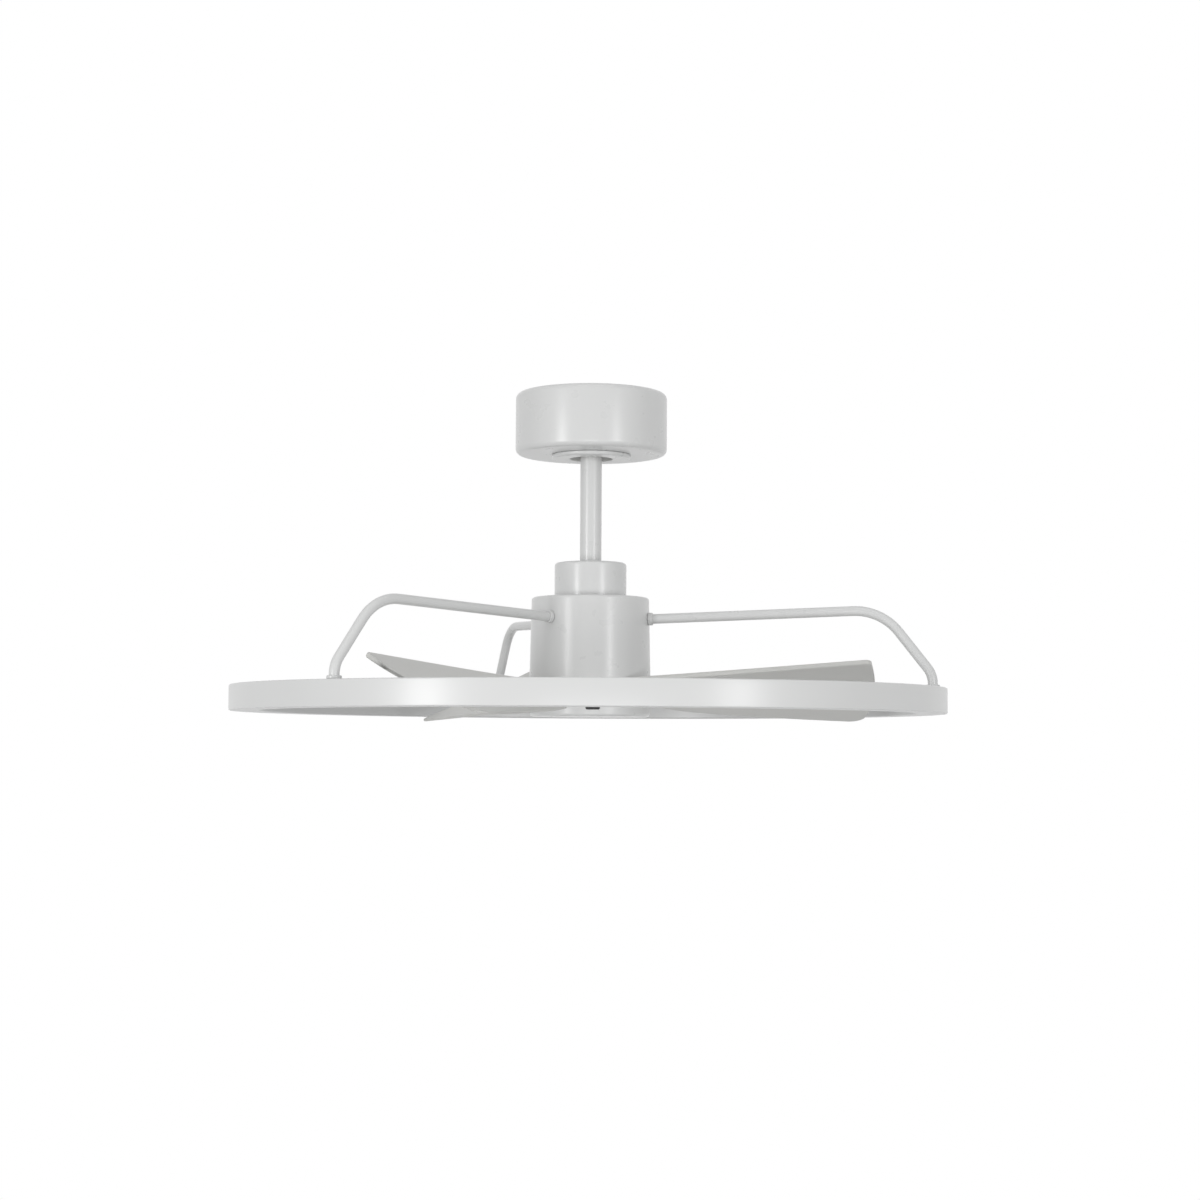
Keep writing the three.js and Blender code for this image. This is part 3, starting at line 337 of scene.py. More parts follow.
def piece(name, geometry, slot, body, *nodes, sharp=32):
    """A finished piece of the object: its mesh, material, body and the CAD nodes it stands for."""
    mesh = mesh_of(name, geometry)
    mesh.polygons.foreach_set("use_smooth", [True] * len(mesh.polygons))
    mesh.set_sharp_from_angle(angle=math.radians(sharp))
    mesh.materials.append(MATERIALS[slot])
    thing = bpy.data.objects.new(name, mesh)
    scene.collection.objects.link(thing)
    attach(thing, body)
    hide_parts(*nodes)
    return thing


# ---------------------------------------------------------------- materials

class Finish:
    """A principled material to which layers of fine detail are added."""

    def __init__(self, name, color, roughness, metallic=0.0):
        self.material = bpy.data.materials.new(name)
        self.material.use_nodes = True
        self.tree = self.material.node_tree
        self.shader = self.tree.nodes["Principled BSDF"]
        self.shader.inputs["Base Color"].default_value = (*color, 1)
        self.shader.inputs["Roughness"].default_value = roughness
        self.shader.inputs["Metallic"].default_value = metallic
        self.color = color
        self.roughness = roughness
        self.place = self.node("ShaderNodeTexCoord").outputs["Object"]

    def node(self, kind, **settings):
        made = self.tree.nodes.new(kind)
        for key, value in settings.items():
            setattr(made, key, value)
        return made

    def link(self, start, end):
        self.tree.links.new(start, end)

    def stretched(self, x, y, z):
        mapping = self.node("ShaderNodeMapping")
        mapping.inputs["Scale"].default_value = (x, y, z)
        self.link(self.place, mapping.inputs["Vector"])
        return mapping.outputs["Vector"]

    def noise(self, per_metre, detail=3.0, place=None):
        made = self.node("ShaderNodeTexNoise")
        made.inputs["Scale"].default_value = per_metre
        made.inputs["Detail"].default_value = detail
        self.link(place or self.place, made.inputs["Vector"])
        return made.outputs["Fac"]

    def mottle(self, value, amount):
        """The colour a little lighter and darker where value changes."""
        mix = self.node("ShaderNodeMix", data_type="RGBA")
        mix.inputs["A"].default_value = (*(c * (1 - amount) for c in self.color), 1)
        mix.inputs["B"].default_value = (*(min(1, c * (1 + amount)) for c in self.color), 1)
        self.link(value, mix.inputs["Factor"])
        self.link(mix.outputs["Result"], self.shader.inputs["Base Color"])
        return self

    def patchy(self, value, amount):
        """The roughness spread by amount either way where value changes."""
        spread = self.node("ShaderNodeMapRange")
        spread.inputs["To Min"].default_value = self.roughness - amount
        spread.inputs["To Max"].default_value = self.roughness + amount
        self.link(value, spread.inputs["Value"])
        self.link(spread.outputs["Result"], self.shader.inputs["Roughness"])
        return self

    def relief(self, value, depth, strength=1.0):
        """A bump of that depth in millimetres, on top of any before it."""
        bump = self.node("ShaderNodeBump")
        bump.inputs["Distance"].default_value = depth * MM
        bump.inputs["Strength"].default_value = strength
        self.link(value, bump.inputs["Height"])
        before = self.shader.inputs["Normal"].links
        if before:
            self.link(before[0].from_socket, bump.inputs["Normal"])
        self.link(bump.outputs["Normal"], self.shader.inputs["Normal"])
        return self


def powder_coat(name, color, roughness):
    """Satin coat: faint orange peel, and a dust-fine grain over it."""
    coat = Finish(name, color, roughness)
    coat.shader.inputs["Coat Weight"].default_value = 0.08
    coat.shader.inputs["Coat Roughness"].default_value = 0.3
    coat.mottle(coat.noise(14, 2), 0.012)
    coat.patchy(coat.noise(55, 4), 0.02)
    coat.relief(coat.noise(420, 2), 0.008, 0.5)
    coat.relief(coat.noise(2600, 2), 0.004, 0.5)
    return coat


def sprayed_paint(name, color, roughness):
    return powder_coat(name, color, roughness).material


FACE_AWAY = 0.05  # distance from the axis in metres, times how far the face there looks outward; below FACE_AWAY the ring's painted shade is full, above FACE_OUT there is none
FACE_OUT = 0.3


def ring_coat_with_painted_shade(name, color, roughness, share):
    """The same coat with painted shade: darker by that share on all but the ring's outer face, that is on
    its inner wall and its top and bottom faces.
    """
    coat = powder_coat(name, color, roughness)
    outward = coat.node("ShaderNodeVectorMath", operation="DOT_PRODUCT")
    coat.link(coat.stretched(1, 1, 0), outward.inputs[0])
    coat.link(coat.node("ShaderNodeTexCoord").outputs["Normal"], outward.inputs[1])
    # painted shade: the base colour is scaled down where the face does not look outward
    painted_shade = coat.node("ShaderNodeMapRange")
    painted_shade.inputs["From Min"].default_value = FACE_AWAY
    painted_shade.inputs["From Max"].default_value = FACE_OUT
    painted_shade.inputs["To Min"].default_value = 1 - share
    coat.link(outward.outputs["Value"], painted_shade.inputs["Value"])
    shaded_color = coat.node("ShaderNodeVectorMath", operation="SCALE")
    base = coat.shader.inputs["Base Color"]
    coat.link(base.links[0].from_socket, shaded_color.inputs[0])
    coat.link(painted_shade.outputs["Result"], shaded_color.inputs["Scale"])
    coat.link(shaded_color.outputs["Vector"], base)
    return coat.material


def moulded(name, color, roughness, grain=1500, depth=0.006):
    """Moulded plastic with an eroded texture."""
    plastic = Finish(name, color, roughness)
    plastic.mottle(plastic.noise(20, 3), 0.02)
    plastic.patchy(plastic.noise(90, 3), 0.04)
    plastic.relief(plastic.noise(grain, 4), depth, 0.6)
    return plastic.material


def plated(name, color, roughness):
    """Zinc plate: soft spangle and rolling marks."""
    metal = Finish(name, color, roughness, 1.0)
    cells = metal.node("ShaderNodeTexVoronoi")
    cells.inputs["Scale"].default_value = 260
    metal.link(metal.place, cells.inputs["Vector"])
    metal.mottle(cells.outputs["Distance"], 0.08)
    metal.patchy(metal.noise(150, 4), 0.1)
    metal.relief(metal.noise(900, 3, metal.stretched(1, 0.06, 1)), 0.01, 0.5)
    return metal.material


def turned_steel(name, color, roughness):
    """Bright steel with the fine rings that a lathe leaves."""
    metal = Finish(name, color, roughness, 1.0)
    metal.patchy(metal.noise(3500, 2, metal.stretched(0.02, 0.02, 1)), 0.1)
    metal.mottle(metal.noise(40, 3), 0.06)
    metal.relief(metal.noise(5200, 2, metal.stretched(0.02, 0.02, 1)), 0.006, 0.6)
    return metal.material


def wound_copper(name, color, roughness):
    """Enamelled wire, laid in turns."""
    metal = Finish(name, color, roughness, 1.0)
    wave = metal.node("ShaderNodeTexWave", bands_direction="Z")
    wave.inputs["Scale"].default_value = 300
    wave.inputs["Distortion"].default_value = 1.5
    metal.link(metal.place, wave.inputs["Vector"])
    metal.mottle(wave.outputs["Fac"], 0.25)
    metal.relief(wave.outputs["Fac"], 0.3, 0.8)
    return metal.material


def etched_board(name, color, roughness):
    """Lacquered circuit board with tracks under the lacquer."""
    lacquer = Finish(name, color, roughness)
    tracks = lacquer.node("ShaderNodeTexBrick")
    tracks.inputs["Scale"].default_value = 400
    lacquer.link(lacquer.place, tracks.inputs["Vector"])
    lacquer.mottle(tracks.outputs["Fac"], 0.35)
    lacquer.relief(tracks.outputs["Fac"], 0.03, 0.5)
    return lacquer.material


WHITE = (0.695, 0.70, 0.697)
MATERIALS = {
    "white_paint": sprayed_paint("white_paint", WHITE, 0.28),
    # the ring's coat carries painted shade on its inner wall and its top and bottom faces
    "ring_plastic": ring_coat_with_painted_shade("ring_plastic", WHITE, 0.3, 0.16),
    "blade_plastic": moulded("blade_plastic", (0.62, 0.62, 0.6), 0.42),
    "zinc_steel": plated("zinc_steel", (0.58, 0.59, 0.6), 0.38),
    "steel": turned_steel("steel", (0.5, 0.51, 0.52), 0.3),
    "copper": wound_copper("copper", (0.6, 0.3, 0.16), 0.35),
    "ferrite": moulded("ferrite", (0.05, 0.05, 0.055), 0.6, 900, 0.02),
    "nylon": moulded("nylon", (0.6, 0.56, 0.46), 0.5),
    "black_rubber": moulded("black_rubber", (0.02, 0.02, 0.022), 0.7, 1200, 0.02),
    "dark_window": moulded("dark_window", (0.05, 0.05, 0.052), 0.12, 300, 0.002),
    "circuit_board": etched_board("circuit_board", (0.02, 0.13, 0.06), 0.3),
}

for part in frame["record"]["subparts"]:
    held = frame["nodes"][part["node"]].data.materials
    for place in range(len(held)):
        held[place] = MATERIALS[part["material_slot"]]


# ---------------------------------------------------------------- canopy and rod

def canopy():
    bottom, size = low("canopy"), radius("canopy")
    inner = CANOPY_EDGE - CANOPY_WALL
    outline = rounded(
        [
            (CANOPY_HOLE, bottom, EASED),
            (size, bottom, CANOPY_EDGE),
            (size, 0, CANOPY_EDGE),
            (size - CANOPY_LIP, 0, EASED),
            (size - CANOPY_LIP, -CANOPY_WALL, EASED),
            (size - CANOPY_WALL, -CANOPY_WALL, inner),
            (size - CANOPY_WALL, bottom + CANOPY_WALL, inner),
            (CANOPY_HOLE, bottom + CANOPY_WALL, EASED),
        ]
    )
    piece("canopy_shell", lathe(outline), "white_paint", "mount", "canopy")


def trim_ring():
    bottom, top, size = low("canopy_trim_ring"), high("canopy_trim_ring"), radius("canopy_trim_ring")
    near, far = TRIM_HOLLOW[0], min(TRIM_HOLLOW[1], size - 1)
    hollow = (top + bottom) / 2
    outline = rounded(
        [
            (CANOPY_HOLE, bottom, TRIM_BORE_EDGE),
            (size, bottom, TRIM_EDGE),
            (size, top, BROKEN),
            (far, top),
            (far, hollow),
            (near, hollow),
            (near, top),
            (CANOPY_HOLE, top, BROKEN),
        ]
    )
    piece("trim_ring", lathe(outline), "white_paint", "mount", "canopy_trim_ring")


def cross_hole(size, z):
    """A cutting bar through the axis, along Y."""
    return moved(
        post(size, -PIN_TOOL / 2, PIN_TOOL / 2),
        Matrix.Translation((0, 0, z)) @ Matrix.Rotation(math.pi / 2, 4, "X"),
    )


def rod():
    bottom, top, size = low("downrod"), high("downrod"), radius("downrod")
    bore = size - ROD_WALL
    corners = ((bore, bottom), (size, bottom), (size, top), (bore, top))
    outline = rounded([(*corner, SOFT) for corner in corners])
    holes = [cross_hole(PIN_HOLE, middle_height(pin)) for pin in ("hanger_pin", "coupling_pin")]
    piece("rod_tube", cut(lathe(outline, SMALL * 2), *holes), "white_paint", "suspension", "downrod")


def coupling_cover():
    bottom, top, size = low("coupling_cover"), high("coupling_cover"), radius("coupling_cover")
    hole = radius("downrod") + GAP
    outline = rounded(
        [
            (size - COVER_WALL, bottom, BROKEN),
            (size, bottom, SOFT),
            (size, top, COVER_EDGE),
            (hole, top, COVER_BORE_EDGE),
            (hole, top - COVER_WALL, BROKEN),
            (size - COVER_WALL, top - COVER_WALL, COVER_EDGE - COVER_WALL),
        ]
    )
    piece("coupling_cup", lathe(outline), "white_paint", "suspension", "coupling_cover")


# ---------------------------------------------------------------- housing, bars and ring

def arm_height(distance):
    return arm_middle + (distance - ARM_START) * slope


def along_arm(start, outline):
    """An outline turned about a bar's own line, from a distance off the fan's axis."""
    tilt = Matrix.Rotation(math.pi / 2 - math.radians(ARM_SLOPE), 4, "Y")
    return moved(lathe(outline, SMALL), Matrix.Translation((start, 0, arm_height(start))) @ tilt)


def arm_azimuths():
    return [heading(f"foot_collar_{i + 1}") for i in range(3)]


def housing():
    bottom, top, size = low("motor_housing"), housing_top, radius("motor_housing")
    outline = rounded(
        [
            (size - HOUSING_WALL, bottom, BROKEN),
            (size, bottom, HOUSING_FOOT_EDGE),
            (HOUSING_TOP_RADIUS, top, HOUSING_EDGE),
            (SHAFT_HOLE, top, BROKEN),
            (SHAFT_HOLE, top - HOUSING_WALL, BROKEN),
            (HOUSING_TOP_RADIUS - HOUSING_WALL, top - HOUSING_WALL, HOUSING_INNER_EDGE),
        ]
    )
    bore = [(0, 0), (ARM_RADIUS + GAP, 0), (ARM_RADIUS + GAP, ARM_TOOL), (0, ARM_TOOL)]
    hole = along_arm(ARM_START - ARM_TOOL / 2, bore)
    holes = [turned(hole, azimuth) for azimuth in arm_azimuths()]
    piece("housing_shell", cut(lathe(outline), *holes), "white_paint", "suspension", "motor_housing")


def arm_line():
    foot = low("foot_collar_1") - GAP
    return rounded(
        [
            (ARM_INNER, arm_height(ARM_INNER)),
            (KNEE_RADIUS, arm_height(KNEE_RADIUS), KNEE_BEND),
            (arm_foot, foot + ANKLE_RISE, ANKLE_BEND),
            (arm_foot, foot - FOOT_DEPTH),
        ],
        closed=False,
        step=BEND_STEP,
    )


def bar(line, size):
    """A round bar along a line of (distance, z) points."""
    rings = []
    for i, here in enumerate(line):
        before, after = line[max(i - 1, 0)], line[min(i + 1, len(line) - 1)]
        way = (after - before).normalized()
        across = Vector((-way.y, way.x))
        ring = []
        for k in range(ARM_SIDES):
            angle = 2 * math.pi * k / ARM_SIDES
            spot = here + across * size * math.cos(angle)
            ring.append(Vector((spot.x, size * math.sin(angle), spot.y)))
        rings.append(ring)
    return skin(rings, False, True, True)


def arms():
    line = arm_line()
    bore = ARM_RADIUS + GAP / 3
    wall = ARM_RADIUS + COLLAR_WALL
    collar = rounded(
        [(bore, 0), (wall, 0, EASED), (wall, COLLAR_LENGTH, COLLAR_EDGE), (bore, COLLAR_LENGTH, BROKEN)]
    )
    base, lid = low("foot_collar_1"), high("foot_collar_1")
    outer = ARM_RADIUS + GAP + FOOT_COLLAR_WALL
    foot = rounded(
        [(bore, base), (outer, base, EASED), (outer, lid, FOOT_COLLAR_EDGE), (bore, lid, BROKEN)]
    )
    foot_place = Matrix.Translation((arm_foot, 0, 0))
    shapes = (
        ("bar", "ring_arm", bar(line, ARM_RADIUS)),
        ("bar_collar", "arm_collar", along_arm(ARM_START + 2 * GAP, collar)),
        ("bar_foot", "foot_collar", moved(lathe(foot, SMALL), foot_place)),
    )
    for n, azimuth in enumerate(arm_azimuths(), 1):
        for name, node, shape in shapes:
            piece(f"{name}_{n}", turned(shape, azimuth), "white_paint", "suspension", f"{node}_{n}")


def ring_outer(azimuth):
    return RING_RADIUS + RING_LOBE * math.cos(math.radians(RING_LOBES * (azimuth - LOBE_AZIMUTH)))


def ring():
    half = (high("orbit_ring") - low("orbit_ring")) / 2
    middle = middle_height("orbit_ring")
    profile = rounded(
        [
            (0, -half, RING_CORNER),
            (0, half, RING_CORNER),
            (-RING_WIDTH, half, RING_CORNER),
            (-RING_WIDTH, -half, RING_CORNER),
        ],
        step=RING_CORNER_STEP,
    )
    rings = []
    for i in range(RING_STEPS):
        azimuth = 360 * i / RING_STEPS
        angle = math.radians(azimuth)
        out = Vector((math.cos(angle), math.sin(angle), 0))
        rings.append([out * (ring_outer(azimuth) + p.x) + Vector((0, 0, middle + p.y)) for p in profile])
    tools = []
    for n, azimuth in enumerate(arm_azimuths(), 1):
        head = low(f"ring_screw_{n}")
        for size, bottom, top in (
            (ARM_RADIUS + GAP / 3, ring_top - FOOT_DEPTH, ring_top + 1),
            (RING_HEAD_HOLE, middle - half - 1, head + RING_HEAD_ROOM),
        ):
            tools.append(turned(post(size, bottom, top, arm_foot), azimuth))
    piece("lobed_ring", cut(skin(rings, True), *tools), "ring_plastic", "suspension", "orbit_ring")


# ---------------------------------------------------------------- screws

HEAD_EDGE = 0.55  # shares of the head's depth
CROSS_DEPTH = 0.6
CROSS_REACH = 0.62  # shares of the head's radius
CROSS_HALF_WIDTH = 0.17
HEAD_BACK_EDGE = 0.15
SCREWS = (  # kind, count, body, head's radius, its depth, shank's radius
    ("cap_screw", 3, "suspension", 3.7, 1.7, 1.8),
    ("ring_screw", 3, "suspension", 4.2, 2.4, 2.0),
    ("blade_screw", 6, "rotor", 4.0, 2.4, 2.0),
)


def cross_screw(head, depth, shank, length):
    """A screw with its head's face at z = 0 looking down, and a cross recess in it."""
    outline = rounded(
        [
            (0, 0),
            (head, 0, depth * HEAD_EDGE),
            (head, depth, HEAD_BACK_EDGE),
            (shank, depth),
            (shank, length, BROKEN),
            (0, length),
        ],
        closed=False,
    )
    long, wide = ((-head * share, head * share) for share in (CROSS_REACH, CROSS_HALF_WIDTH))
    deep = (-1, depth * CROSS_DEPTH)
    cross = join(block(long, wide, deep), block(wide, long, deep))
    return cut(lathe(outline, SMALL, closed=False), cross)


def screws(kind, count, body, head, depth, shank):
    length = high(f"{kind}_1") - low(f"{kind}_1")
    shape = cross_screw(head, depth, shank, length)
    for n in range(1, count + 1):
        node = f"{kind}_{n}"
        place = Matrix.Translation((reach(node), 0, low(node)))
        piece(f"{node}_head", turned(moved(shape, place), heading(node)), "zinc_steel", body, node)


# ---------------------------------------------------------------- hub and blades

def mix(a, b, share):
    return a + (b - a) * share


def chord(share):
    """Middle line of a blade's section, as (across, z) points from leading to trailing edge."""
    bow = share**TAIL_BOW
    lead = Vector((mix(-LEAD_ROOT_SWEEP, 0, share), hub_top + mix(LEAD_ROOT_RISE, LEAD_TIP_RISE, share)))
    tail = Vector(
        (mix(TAIL_ROOT_REACH, TAIL_TIP_REACH, bow), hub_top - mix(TAIL_ROOT_DROP, TAIL_TIP_DROP, bow))
    )
    middle = (lead + tail) / 2 - Vector((0, BLADE_HOLLOW * share))
    points = []
    for i in range(CURVE_STEPS + 1):
        t = i / CURVE_STEPS
        points.append(lead * (1 - t) ** 2 + middle * 2 * t * (1 - t) + tail * t**2)
    return points


def walk(points, distance):
    """The point and the direction at a distance along a line of points."""
    for here, after in zip(points, points[1:]):
        step = (after - here).length
        if distance <= step:
            return here + (after - here) * distance / step, (after - here) / step
        distance -= step
    return points[-1], (points[-1] - points[-2]).normalized()


def corner_inset(corner, to_tip):
    """How far a rounded corner of the tip takes an edge in, at a distance from the tip."""
    return corner - math.sqrt(corner**2 - (corner - to_tip) ** 2) if to_tip < corner else 0


def blade_section(distance, thinner=0.0):
    """The closed section at a distance from the axis, with a half round rim on both edges."""
    line = chord((distance - BLADE_ROOT_RADIUS) / (BLADE_RADIUS - BLADE_ROOT_RADIUS))
    length = sum((b - a).length for a, b in zip(line, line[1:]))
    start = corner_inset(LEAD_CORNER, BLADE_RADIUS - distance)
    end = length - corner_inset(TAIL_CORNER, BLADE_RADIUS - distance)
    span = end - start
    half = mix(BLADE_NOSE, BLADE_TAIL, math.sqrt(span / 2 / length)) / 2

    def half_thickness(along):
        full = mix(BLADE_NOSE, BLADE_TAIL, math.sqrt(max(0, along / length))) / 2 - thinner
        edge = min(along - start, end - along) / half
        return full * (math.sqrt(1 - (1 - edge) ** 2) if edge < 1 else 1)

    rim = [half * (1 - math.cos(math.pi / 2 * k / EDGE_STEPS)) for k in range(1, EDGE_STEPS + 1)]
    flat = [mix(start + half, end - half, k / CHORD_STEPS) for k in range(1, CHORD_STEPS)]
    stations = [start + r for r in rim] + flat + [end - r for r in reversed(rim)]

    def place(along, side):
        spot, way = walk(line, along)
        off = side * half_thickness(along)
        across, z = spot.x - way.y * off, spot.y + way.x * off
        return Vector((math.sqrt(distance**2 - across**2), across, z))

    loop = [place(start, 0)] + [place(s, 1) for s in stations] + [place(end, 0)]
    return loop + [place(s, -1) for s in reversed(stations)]


def blade():
    inner = [
        mix(BLADE_ROOT_RADIUS, BLADE_RADIUS - TAIL_CORNER, i / BLADE_STEPS) for i in range(BLADE_STEPS)
    ]
    tip = [
        BLADE_RADIUS - TIP_BEVEL - (TAIL_CORNER - TIP_BEVEL) * (1 - math.sin(math.pi / 2 * i / TIP_STEPS))
        for i in range(TIP_STEPS + 1)
    ]
    sections = [blade_section(d) for d in inner + tip]
    last = [p.copy() for p in blade_section(BLADE_RADIUS - TIP_BEVEL, TIP_BEVEL)]
    for p in last:
        p.xy *= BLADE_RADIUS / (BLADE_RADIUS - TIP_BEVEL)
    foil = skin(sections + [last], False, True, True)
    top = hub_top - HUB_DISC - GAP
    sides = (TONGUE_SHIFT - TONGUE_WIDTH / 2, TONGUE_SHIFT + TONGUE_WIDTH / 2)
    plan = rounded(
        [
            (TONGUE_INNER, sides[0], TONGUE_ROOT_EDGE),
            (TONGUE_OUTER, sides[0], TONGUE_TIP_EDGE),
            (TONGUE_OUTER, sides[1], TONGUE_TIP_EDGE),
            (TONGUE_INNER, sides[1], TONGUE_ROOT_EDGE),
        ]
    )
    levels = [top - TONGUE_THICK, top]
    tongue = skin([[Vector((p.x, p.y, z)) for p in plan] for z in levels], False, True, True)
    return join(foil, tongue)


def blades():
    shape = blade()
    for n, azimuth in enumerate(BLADE_AZIMUTHS, 1):
        piece(f"blade_{n}_foil", turned(shape, azimuth), "blade_plastic", "rotor", f"blade_{n}")


def hub():
    top, bottom, size = hub_top, low("blade_hub"), radius("blade_hub")
    disc = top - HUB_DISC
    floor = high("lower_bearing")
    ledge = low("lower_bearing") - BEARING_LEDGE
    flange = low("rotor_cup") - GAP
    cup = radius("rotor_cup")
    outline = rounded(
        [
            (HUB_THROAT, disc, EASED),
            (size - HUB_RIM, disc, HUB_INNER_EDGE),
            (size - HUB_RIM, bottom, SOFT),
            (size, bottom, HUB_EDGE),
            (size, top, HUB_EDGE),
            (HUB_NECK, top, HUB_INNER_EDGE),
            (HUB_NECK, flange - ROTOR_WALL, SOFT),
            (cup, flange - ROTOR_WALL, SOFT),
            (cup, flange, SOFT),
            (BEARING_BOSS, flange, HUB_EDGE),
            (BEARING_BOSS, floor, EASED),
            (BEARING_SEAT, floor, BROKEN),
            (BEARING_SEAT, ledge, BROKEN),
            (HUB_THROAT, ledge, EASED),
        ]
    )
    half = TONGUE_WIDTH / 2 + GAP
    slot = block(
        (HUB_NECK, size + HUB_RIM),
        (TONGUE_SHIFT - half, TONGUE_SHIFT + half),
        (disc - TONGUE_THICK - 2 * GAP, disc),
    )
    slots = [turned(slot, azimuth) for azimuth in BLADE_AZIMUTHS]
    piece("hub_skirt", cut(lathe(outline), *slots), "white_paint", "rotor", "blade_hub")


# ---------------------------------------------------------------- cap and window

def window_patch(outer, inner, grow=0.0):
    """A patch of a cylinder with rounded corners, at the receiver window's place."""
    half_width = WINDOW_WIDTH / 2 + grow
    half_height = (high("receiver_window") - low("receiver_window")) / 2 + grow
    corner = WINDOW_CORNER + grow
    turns = [math.pi / 2 * k / WINDOW_STEPS for k in range(WINDOW_STEPS + 1)]
    left = [-half_width + corner * (1 - math.cos(t)) for t in turns]
    columns = left + [-x for x in reversed(left)]
    outline = []
    for x in columns:
        over = max(0, abs(x) - (half_width - corner))
        outline.append((x, half_height - corner + math.sqrt(max(0, corner**2 - over**2))))
    count = len(outline)
    middle = middle_height("receiver_window")
    points, faces = [], []
    for size in (outer, inner):
        for sign in (1, -1):
            for x, up in outline:
                angle = x / outer
                points.append(Vector((size * math.cos(angle), size * math.sin(angle), middle + sign * up)))
    a, b, c, d = 0, count, 2 * count, 3 * count
    for j in range(count - 1):
        faces.append((a + j, b + j, b + j + 1, a + j + 1))
        faces.append((c + j, c + j + 1, d + j + 1, d + j))
        faces.append((a + j, a + j + 1, c + j + 1, c + j))
        faces.append((b + j, d + j, d + j + 1, b + j + 1))
    faces.append((a, c, d, b))
    end = count - 1
    faces.append((a + end, b + end, d + end, c + end))
    return turned((points, faces), heading("receiver_window"))


def cap():
    bottom, top, size = low("lower_cap"), high("lower_cap"), radius("lower_cap")
    shell = lathe(
        rounded(
            [
                (0, bottom),
                (size, bottom, CAP_EDGE),
                (size, top, CAP_RIM_EDGE),
                (size - CAP_WALL, top, BROKEN),
                (size - CAP_WALL, bottom + CAP_WALL, CAP_EDGE - CAP_WALL),
                (0, bottom + CAP_WALL),
            ],
            closed=False,
        ),
        closed=False,
    )
    tools = [window_patch(size + CAP_WALL, size - 3 * CAP_WALL, GAP)]
    bosses = []
    boss_top = low("lower_plate") - GAP
    for n in (1, 2, 3):
        node = f"cap_screw_{n}"
        angle = math.radians(heading(node))
        x, y = reach(node) * math.cos(angle), reach(node) * math.sin(angle)
        bosses.append(post(CAP_BOSS, bottom + CAP_WALL / 2, boss_top, x, y))
        tools.append(post(CAP_SCREW_HOLE, bottom - 1, boss_top + 1, x, y))
        tools.append(post(CAP_HEAD_HOLE, bottom - 1, bottom + CAP_WALL + GAP, x, y))
    shape = join(shell, *bosses)
    for tool in tools:
        shape = cut(shape, tool)
    piece("cap_shell", shape, "white_paint", "suspension", "lower_cap")
    window = window_patch(size - WINDOW_INSET, size - CAP_WALL)
    piece("window_lens", window, "dark_window", "suspension", "receiver_window")


canopy()
trim_ring()
rod()
coupling_cover()
housing()
arms()
ring()
hub()
blades()
cap()
for row in SCREWS:
    screws(*row)


# ---------------------------------------------------------------- camera, light and floor

CAMERA_PLACE = (0, -2.5316, -0.4010)
CAMERA_PITCH = 3.84
CAMERA_YAW = 0.242
CAMERA_ROLL = 0.3
FOCAL = 68.31
SENSOR_WIDTH = 36

view = bpy.data.cameras.new("camera")
view.lens = FOCAL
view.sensor_width = SENSOR_WIDTH
camera = bpy.data.objects.new("camera", view)
scene.collection.objects.link(camera)
camera.matrix_world = (
    Matrix.Translation(CAMERA_PLACE)
    @ Matrix.Rotation(math.radians(-CAMERA_YAW), 4, "Z")
    @ Matrix.Rotation(math.radians(90 + CAMERA_PITCH), 4, "X")
    @ Matrix.Rotation(math.radians(CAMERA_ROLL), 4, "Z")
)
scene.camera = camera

AIM = Vector((0, 0, -0.22))


def softbox(name, azimuth, elevation, distance, width, height, power):
    """An area lamp that looks at the fan. Azimuth 0 is the camera's side, positive to the right."""
    a, e = math.radians(azimuth), math.radians(elevation)
    out = Vector((math.sin(a) * math.cos(e), -math.cos(a) * math.cos(e), math.sin(e)))
    lamp = bpy.data.lights.new(name, "AREA")
    lamp.shape = "RECTANGLE"
    lamp.size, lamp.size_y = width, height
    lamp.energy = power
    thing = bpy.data.objects.new(name, lamp)
    scene.collection.objects.link(thing)
    thing.location = AIM + out * distance
    thing.rotation_mode = "QUATERNION"
    thing.rotation_quaternion = (-out).to_track_quat("-Z", "Y")


LAMPS = (  # name, azimuth, elevation, distance, width, height, power
    ("left", -44, -3, 3.4, 0.46, 1.5, 34),
    ("right", 38, -3, 3.4, 0.46, 1.5, 24),
    ("front", 0, -14, 3.6, 1.8, 1.0, 22),
    ("top", 0, 78, 2.4, 2.2, 2.2, 6),
)
for row in LAMPS:
    softbox(*row)

AMBIENT_ABOVE = 0.48
AMBIENT_BELOW = 0.28
AMBIENT_RISE = (-0.5, 0.3)  # z of the directions between which it changes
world = bpy.data.worlds.new("studio")
scene.world = world
world.use_nodes = True
tree = world.node_tree
tree.nodes.clear()


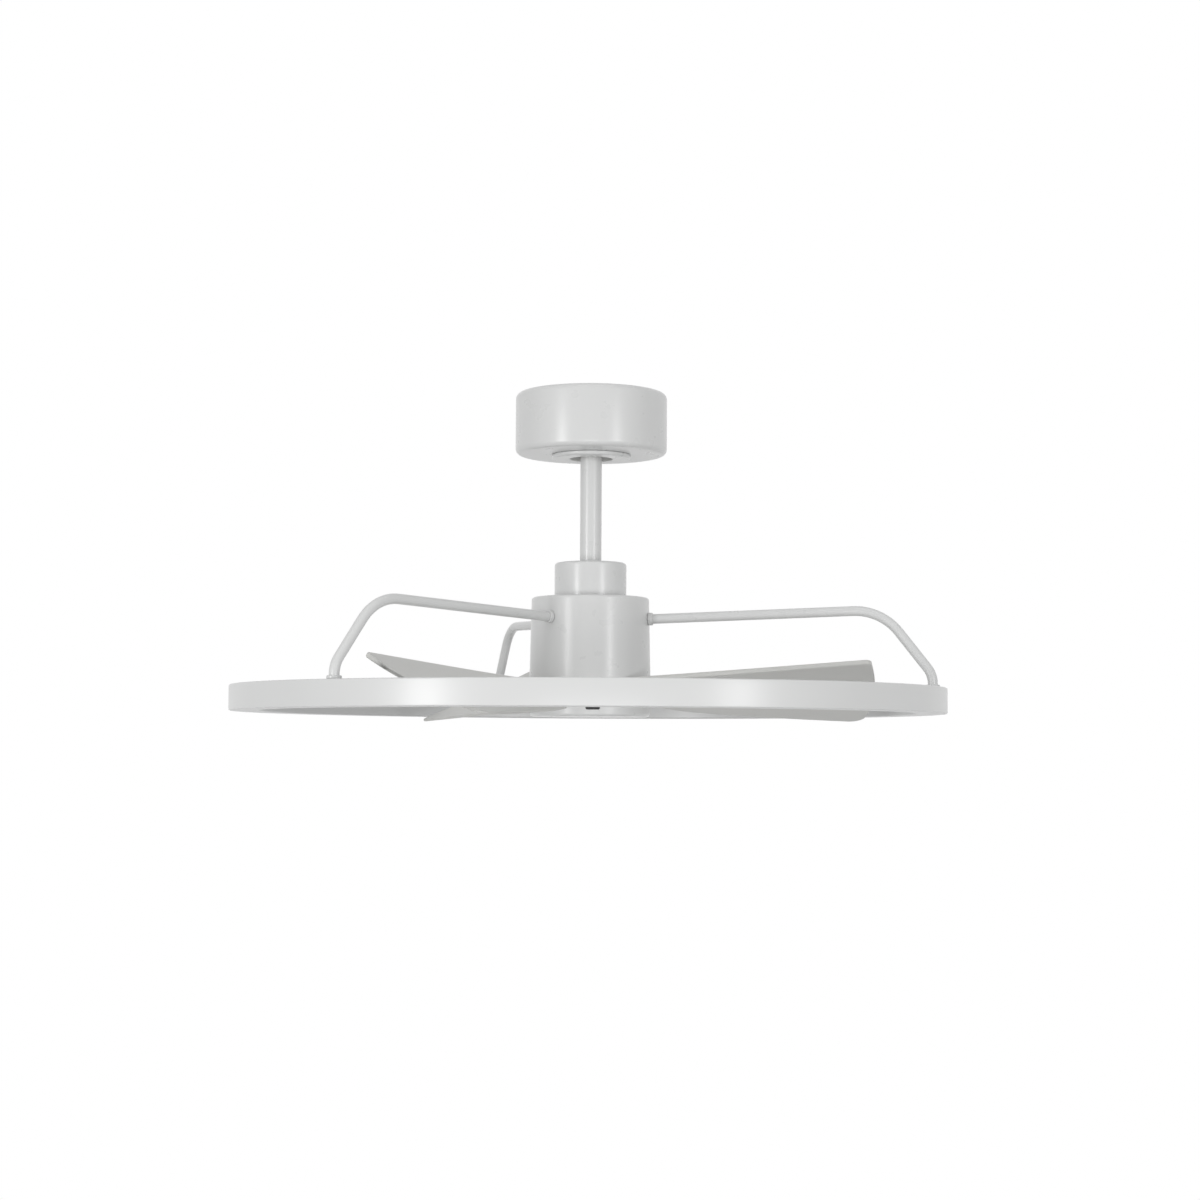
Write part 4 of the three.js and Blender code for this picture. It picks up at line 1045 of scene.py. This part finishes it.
def add(kind, **settings):
    made = tree.nodes.new(kind)
    for key, value in settings.items():
        setattr(made, key, value)
    return made


def background(strength):
    made = add("ShaderNodeBackground")
    made.inputs["Color"].default_value = (1, 1, 1, 1)
    made.inputs["Strength"].default_value = strength
    return made


ray = add("ShaderNodeLightPath")
seen = ray.outputs["Is Camera Ray"]
for kind in ("Is Glossy Ray", "Is Transmission Ray"):
    larger = add("ShaderNodeMath", operation="MAXIMUM")
    tree.links.new(seen, larger.inputs[0])
    tree.links.new(ray.outputs[kind], larger.inputs[1])
    seen = larger.outputs[0]
backdrop, fill = background(1), background(AMBIENT_ABOVE)
split = add("ShaderNodeSeparateXYZ")
tree.links.new(add("ShaderNodeTexCoord").outputs["Generated"], split.inputs["Vector"])
slant = add("ShaderNodeMapRange", interpolation_type="SMOOTHSTEP")
for key, value in (
    ("From Min", AMBIENT_RISE[0]),
    ("From Max", AMBIENT_RISE[1]),
    ("To Min", AMBIENT_BELOW),
    ("To Max", AMBIENT_ABOVE),
):
    slant.inputs[key].default_value = value
tree.links.new(split.outputs["Z"], slant.inputs["Value"])
tree.links.new(slant.outputs["Result"], fill.inputs["Strength"])
choice = add("ShaderNodeMixShader")
for start, place in ((seen, 0), (fill.outputs[0], 1), (backdrop.outputs[0], 2)):
    tree.links.new(start, choice.inputs[place])
tree.links.new(choice.outputs[0], add("ShaderNodeOutputWorld").inputs["Surface"])

FLOOR_DROP = 2.75
FLOOR_HALF = 1.85
floor_mesh = bpy.data.meshes.new("floor")
floor_mesh.from_pydata(
    [(x * FLOOR_HALF, y * FLOOR_HALF, -FLOOR_DROP) for x, y in ((-1, -1), (1, -1), (1, 1), (-1, 1))],
    [],
    [(0, 1, 2, 3)],
)
floor = bpy.data.objects.new("floor", floor_mesh)
scene.collection.objects.link(floor)
FLOOR_TONE = (0.72, 0.72, 0.72)
floor_finish = Finish("floor", FLOOR_TONE, 0.6)
floor_finish.mottle(floor_finish.noise(3, 3), 0.01)
floor_mesh.materials.append(floor_finish.material)

scene.view_settings.view_transform = "Standard"
